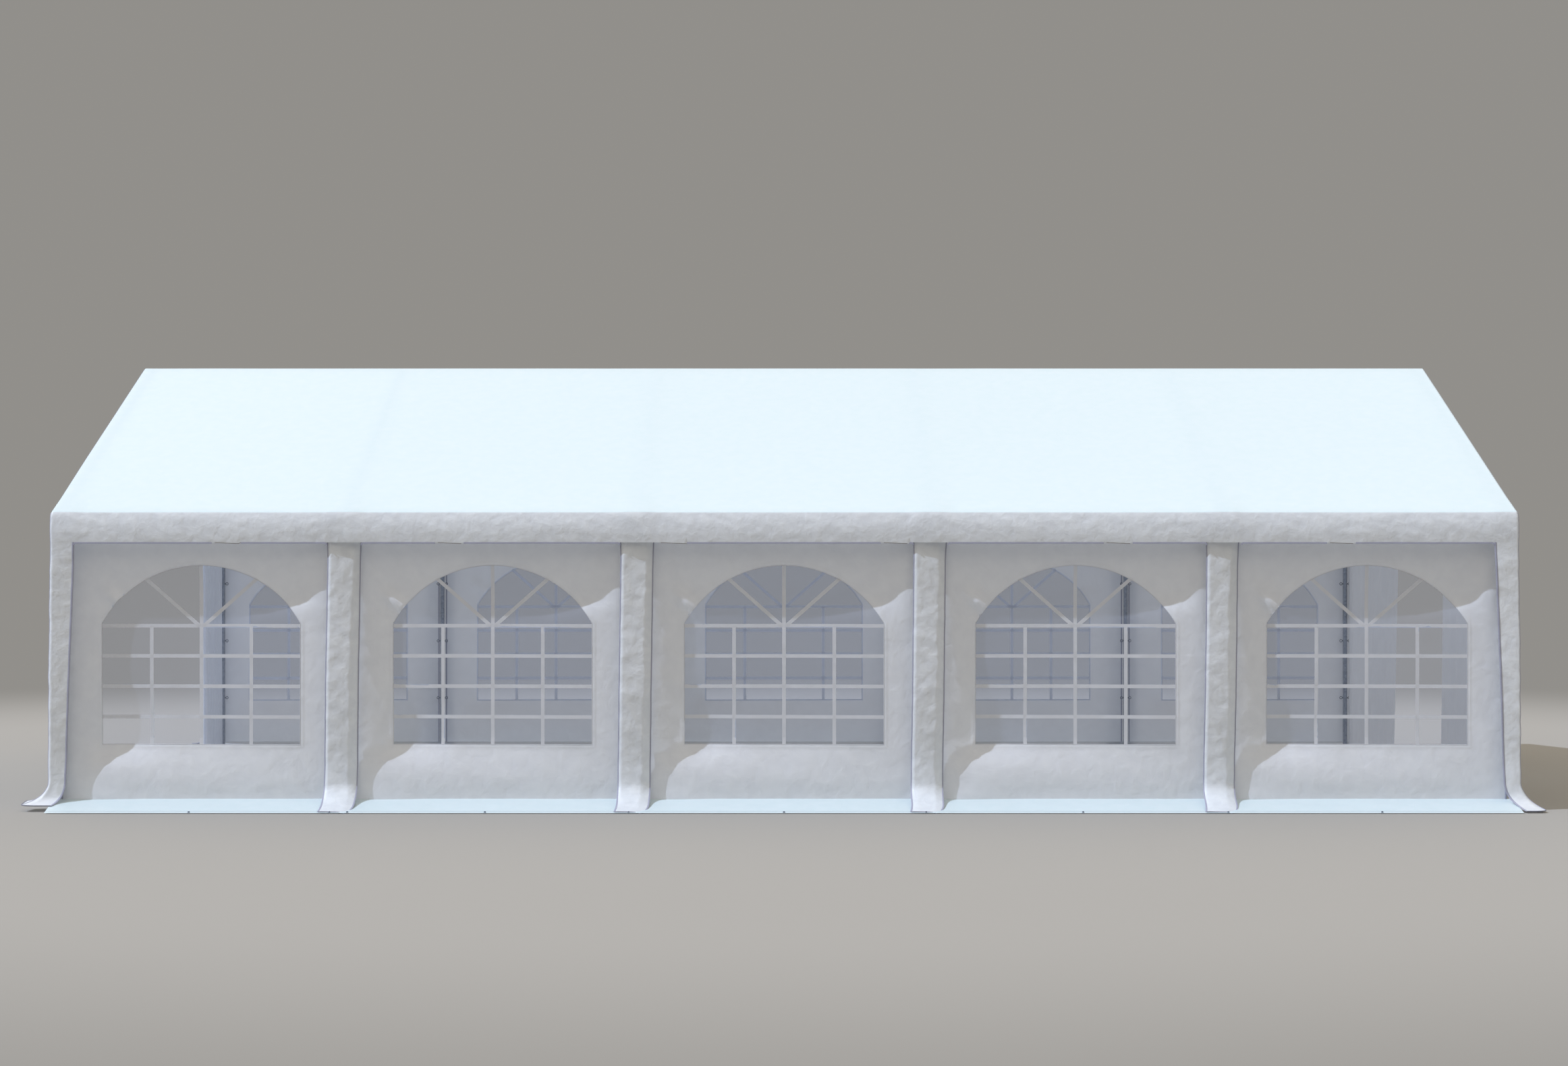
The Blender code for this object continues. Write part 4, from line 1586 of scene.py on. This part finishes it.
@dataclass
class EndCurtain:
    """Half of an end wall, hung on rings from the end rail and drawn back."""

    end: End
    side: Side
    edge_top: float
    edge_foot: float
    pleat: float
    swing: float
    loop: float
    foot: float = 0.02
    cut_width: float = 2.8
    plane: float = 4.968
    opened: float = 0.12
    pinched: float = 0.62
    drift: Wrinkles = Wrinkles(0.5, 0.5)
    uneven: Wrinkles = Wrinkles(0.12, 0.5, seed=1)
    dents: Wrinkles = Wrinkles(1.2 * MM, 0.09, seed=2)
    ring_radius: float = 0.0255
    ring_inset: float = 0.02
    steps: int = 24

    def build(self) -> None:
        """Makes the curtain and its rings."""
        outer = TENT.post_y + TENT.tube_radius
        top = TENT.end_rail + TENT.tube_radius
        seed = 100.0 + self.side.value + 3 * self.end.value
        count = round((outer - (self.edge_top + self.edge_foot) / 2) / self.pleat)
        rows: list[list[Spot]] = []
        for z in spaced(top, self.foot, 0.045):
            fall = (top - z) / (top - self.foot)
            edge = between(self.edge_top, self.edge_foot, fall)
            free = ease(0.0, self.opened, fall)
            row = []
            for k in range(count * self.steps + 1):
                share = k / (count * self.steps)
                ends = ease(0.0, 0.4 / count, share) * ease(1.0, 1.0 - 0.7 / count, share)
                turn = 2 * math.pi * count * share
                turn += free * self.drift.rise(share * 4, fall * 0.9, seed)
                size = ends * between(self.pinched, 1.0, free)
                size *= 1 + self.uneven.rise(share * 5, fall, seed)
                y = between(outer, edge, share) - size * self.loop * math.sin(2 * turn)
                x = self.plane - ends * free * 10 * MM - (1 - ends) * 0.5 * self.swing
                x += self.dents.rise(y, z, seed) - size * self.swing * math.cos(turn)
                place = Vector((self.end.value * x, self.side.value * y, z))
                row.append(Spot(place, (share * self.cut_width, z)))
            rows.append(row)
        name = f"end_curtain_{self.end.label}_{self.side.label}"
        curtain = PieceMesh(rows).build(name + "_cloth", Slot.WALL, WALL_CLOTH, [name])
        shape = PieceMesh()
        for k in range(count + 1):
            y = outer - self.ring_inset - (outer - self.edge_top - 2 * self.ring_inset) * k / count
            hung_x, hung_y = self.end.value * TENT.end_post_x, self.side.value * y
            middle = Vector((hung_x, hung_y, TENT.end_rail))
            ring = arc(middle, self.ring_radius, self.end.value * ALONG, UP, full_turn(20))
            shape.add_sweep(ring, oval(4 * MM, 4 * MM), ACROSS, closed=True)
        rings = shape.build(name + "_rings", Slot.STEEL, WIRE_STEEL)


# Steel


@dataclass
class SteelFrame:
    """The tube frame, which keeps its CAD solids, and the eye bolts through its inner posts."""

    heights: tuple[float, ...] = (0.46, 0.96, 1.46)
    eye_radius: float = 0.0105
    eye_reach: float = 0.036
    wire: float = 5.5 * MM
    nut_width: float = 12 * MM
    nut_height: float = 4 * MM

    def dress_nodes(self) -> None:
        """Gives the CAD solids of the frame their zinc finish."""
        steel = STEEL.material()
        for name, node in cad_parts.items():
            if any(word in name for word in ("post", "rafter", "rail")):
                for slot in node.material_slots:
                    slot.material = steel
                logging.info("%s: %s", name, steel.name)

    def build(self) -> None:
        """Dresses the frame and makes the eye bolts of its inner posts."""
        self.dress_nodes()
        for side in Side:
            shape = PieceMesh()
            for post_x in TENT.post_xs:
                for height in self.heights:
                    self.add_bolt(shape, Vector((post_x, side.value * TENT.post_y, height)))
            shape.build(f"{side.label}_post_eye_bolts", Slot.STEEL, WIRE_STEEL)

    def add_bolt(self, shape: PieceMesh, centre: Vector) -> None:
        """Adds a bolt through a post with an eye at each end.

        Args:
            shape: the piece that it joins.
            centre: where it crosses the post's axis.
        """
        shank = self.eye_reach - self.eye_radius
        path = [centre + ALONG * t for t in spaced(-shank, shank, shank)]
        wire = oval(self.wire, self.wire)
        shape.add_sweep(path, wire, ACROSS)
        for sign in (-1, 1):
            eye = centre + ALONG * sign * self.eye_reach
            ring = arc(eye, self.eye_radius, ALONG, UP, full_turn(16))
            shape.add_sweep(ring, wire, ACROSS, closed=True)
            nut = centre + ALONG * sign * (TENT.tube_radius + self.nut_height / 2)
            ends = [nut + ALONG * t * self.nut_height / 2 for t in (-1, 1)]
            shape.add_sweep(ends, oval(self.nut_width, self.nut_width, 6), ACROSS)


# Studio


@dataclass(frozen=True)
class MattFloor(Finish):
    """Matt painted studio floor, plain and pale, that fades into the surround at its rim."""

    surround: tuple[float, float, float]
    name: str = "studio_floor_matt"
    colour: str = "#97938B"
    roughness: float = 0.9
    clear: float = 9.0
    end: float = 17.0

    def shader(self, add: Adder) -> bpy.types.NodeSocket:
        """Adds the floor's nodes: matt paint, mixed by distance with the surround's light."""
        place = {0: add("TexCoord").outputs["Object"]}
        distance = add("VectorMath", {"operation": "LENGTH"}, place)
        limits = {"interpolation_type": "SMOOTHSTEP", "From Min": self.clear, "From Max": self.end}
        fade = add("MapRange", limits, {"Value": distance.outputs["Value"]})
        matt = add("BsdfPrincipled", {"Base Color": linear(self.colour), "Roughness": self.roughness})
        rim = add("Emission", {"Color": (*self.surround, 1.0)})
        parts = {0: fade.outputs["Result"], 1: matt.outputs["BSDF"], 2: rim.outputs["Emission"]}
        return add("MixShader", None, parts).outputs["Shader"]


@dataclass
class Studio:
    """A plain pale floor, one soft key light, an even surround and the camera."""

    floor_rings: tuple[float, ...] = (0.01, 4.0, 9.0, 13.0, 17.0, 40.0)
    surround: tuple[float, float, float] = (0.285, 0.275, 0.258)
    dome_colour: tuple[float, float, float] = (1.035, 0.965, 0.875)
    dome_strength: float = 1.80
    dome_angle: float = 130.0
    key_colour: tuple[float, float, float] = (0.675, 0.775, 0.99)
    key_strength: float = 3.35
    key_angle: float = 0.6
    toward_key: tuple[float, float, float] = (-3.0, -1.12, 3.5)
    camera_place: tuple[float, float, float] = (0.0, -23.3, 1.859)
    lens: float = 68.39
    picture: tuple[int, int] = (2324, 1580)
    horizon_row: float = 798.0

    def build(self) -> None:
        """Makes the floor, the lights, the surround and the camera."""
        self.build_floor()
        self.build_light()
        self.build_camera()

    def build_floor(self) -> None:
        """Makes the floor, a disc that fades into the surround towards its rim."""
        rows = [
            [
                Spot(Vector((reach * math.cos(turn), reach * math.sin(turn), 0)), (reach, turn))
                for turn in full_turn(96)
            ]
            for reach in self.floor_rings
        ]
        shape = PieceMesh()
        shape.add_rows(rows, closed=True)
        shape.build("studio_floor", None, MattFloor(self.surround))

    def build_light(self) -> None:
        """Makes the key light and the even surround."""
        key = self.add_sun("key_light", self.key_strength, self.key_colour, self.key_angle)
        key.rotation_euler = Vector(self.toward_key).to_track_quat("Z", "Y").to_euler()
        self.add_sun("dome_light", self.dome_strength, self.dome_colour, self.dome_angle)
        world = bpy.data.worlds.new("surround")
        world.use_nodes = True
        background = world.node_tree.nodes["Background"]
        background.inputs["Color"].default_value = (*self.surround, 1.0)
        bpy.context.scene.world = world
        bpy.context.scene.view_settings.view_transform = "Standard"

    def add_sun(
        self, name: str, strength: float, colour: tuple[float, float, float], angle: float
    ) -> bpy.types.Object:
        """Adds a distant light that is as wide as angle, in degrees, and shines from above."""
        sun = bpy.data.lights.new(name, "SUN")
        sun.energy, sun.color, sun.angle = strength, colour, math.radians(angle)
        lamp = bpy.data.objects.new(name, sun)
        bpy.context.scene.collection.objects.link(lamp)
        return lamp

    def build_camera(self) -> None:
        """Makes the camera, level and square on to the long side."""
        width, height = self.picture
        data = bpy.data.cameras.new("camera")
        data.lens = self.lens
        data.shift_y = (self.horizon_row - height / 2) / width
        data.clip_end = 400.0
        camera = bpy.data.objects.new("camera", data)
        camera.location = self.camera_place
        camera.rotation_euler = (math.pi / 2, 0, 0)
        bpy.context.scene.collection.objects.link(camera)
        bpy.context.scene.camera = camera


def main() -> None:
    """Builds the tent's sub-assemblies in order, and then the studio."""
    logging.basicConfig(level=logging.INFO, format="%(message)s")
    SteelFrame().build()
    roof = RoofCover()
    roof.build()
    for end in End:
        GablePanel(end, roof).build()
    for side in Side:
        for number in range(1, TENT.bays + 1):
            panel = WallPanel(side, number)
            panel.build()
            Window(panel).build()
        GroundFlap(side).build()
    leans = {2: -0.032, 3: -0.028, 4: -0.025, 5: -0.030}
    corners = {
        End.LEFT: {
            "reach_x": 0.170,
            "reach_y": 0.085,
            "foot_lifts": (0.006, 0.022),
            "foot_width": 0.210,
            "fall_back": 0.020,
            "corner_radius": 0.020,
        },
        End.RIGHT: {
            "reach_x": 0.135,
            "reach_y": 0.185,
            "foot_lifts": (0.0, 0.006),
            "foot_width": 0.140,
            "fall_back": -0.008,
            "corner_radius": 0.012,
        },
    }
    for side in Side:
        for number, lean in leans.items():
            LegCover(side, number, lean=lean).build()
        for end, corner in corners.items():
            CornerCover(side, end, **corner).build()
    for side in Side:
        EndCurtain(End.LEFT, side, 2.06, 2.12, pleat=0.066, swing=0.034, loop=0.0145).build()
    EndCurtain(End.RIGHT, Side.FRONT, 0.90, 0.80, pleat=0.30, swing=0.016, loop=0.004).build()
    EndCurtain(End.RIGHT, Side.BACK, 0.72, 0.93, pleat=0.30, swing=0.016, loop=0.004).build()
    Studio().build()


if __name__ == "__main__":
    main()
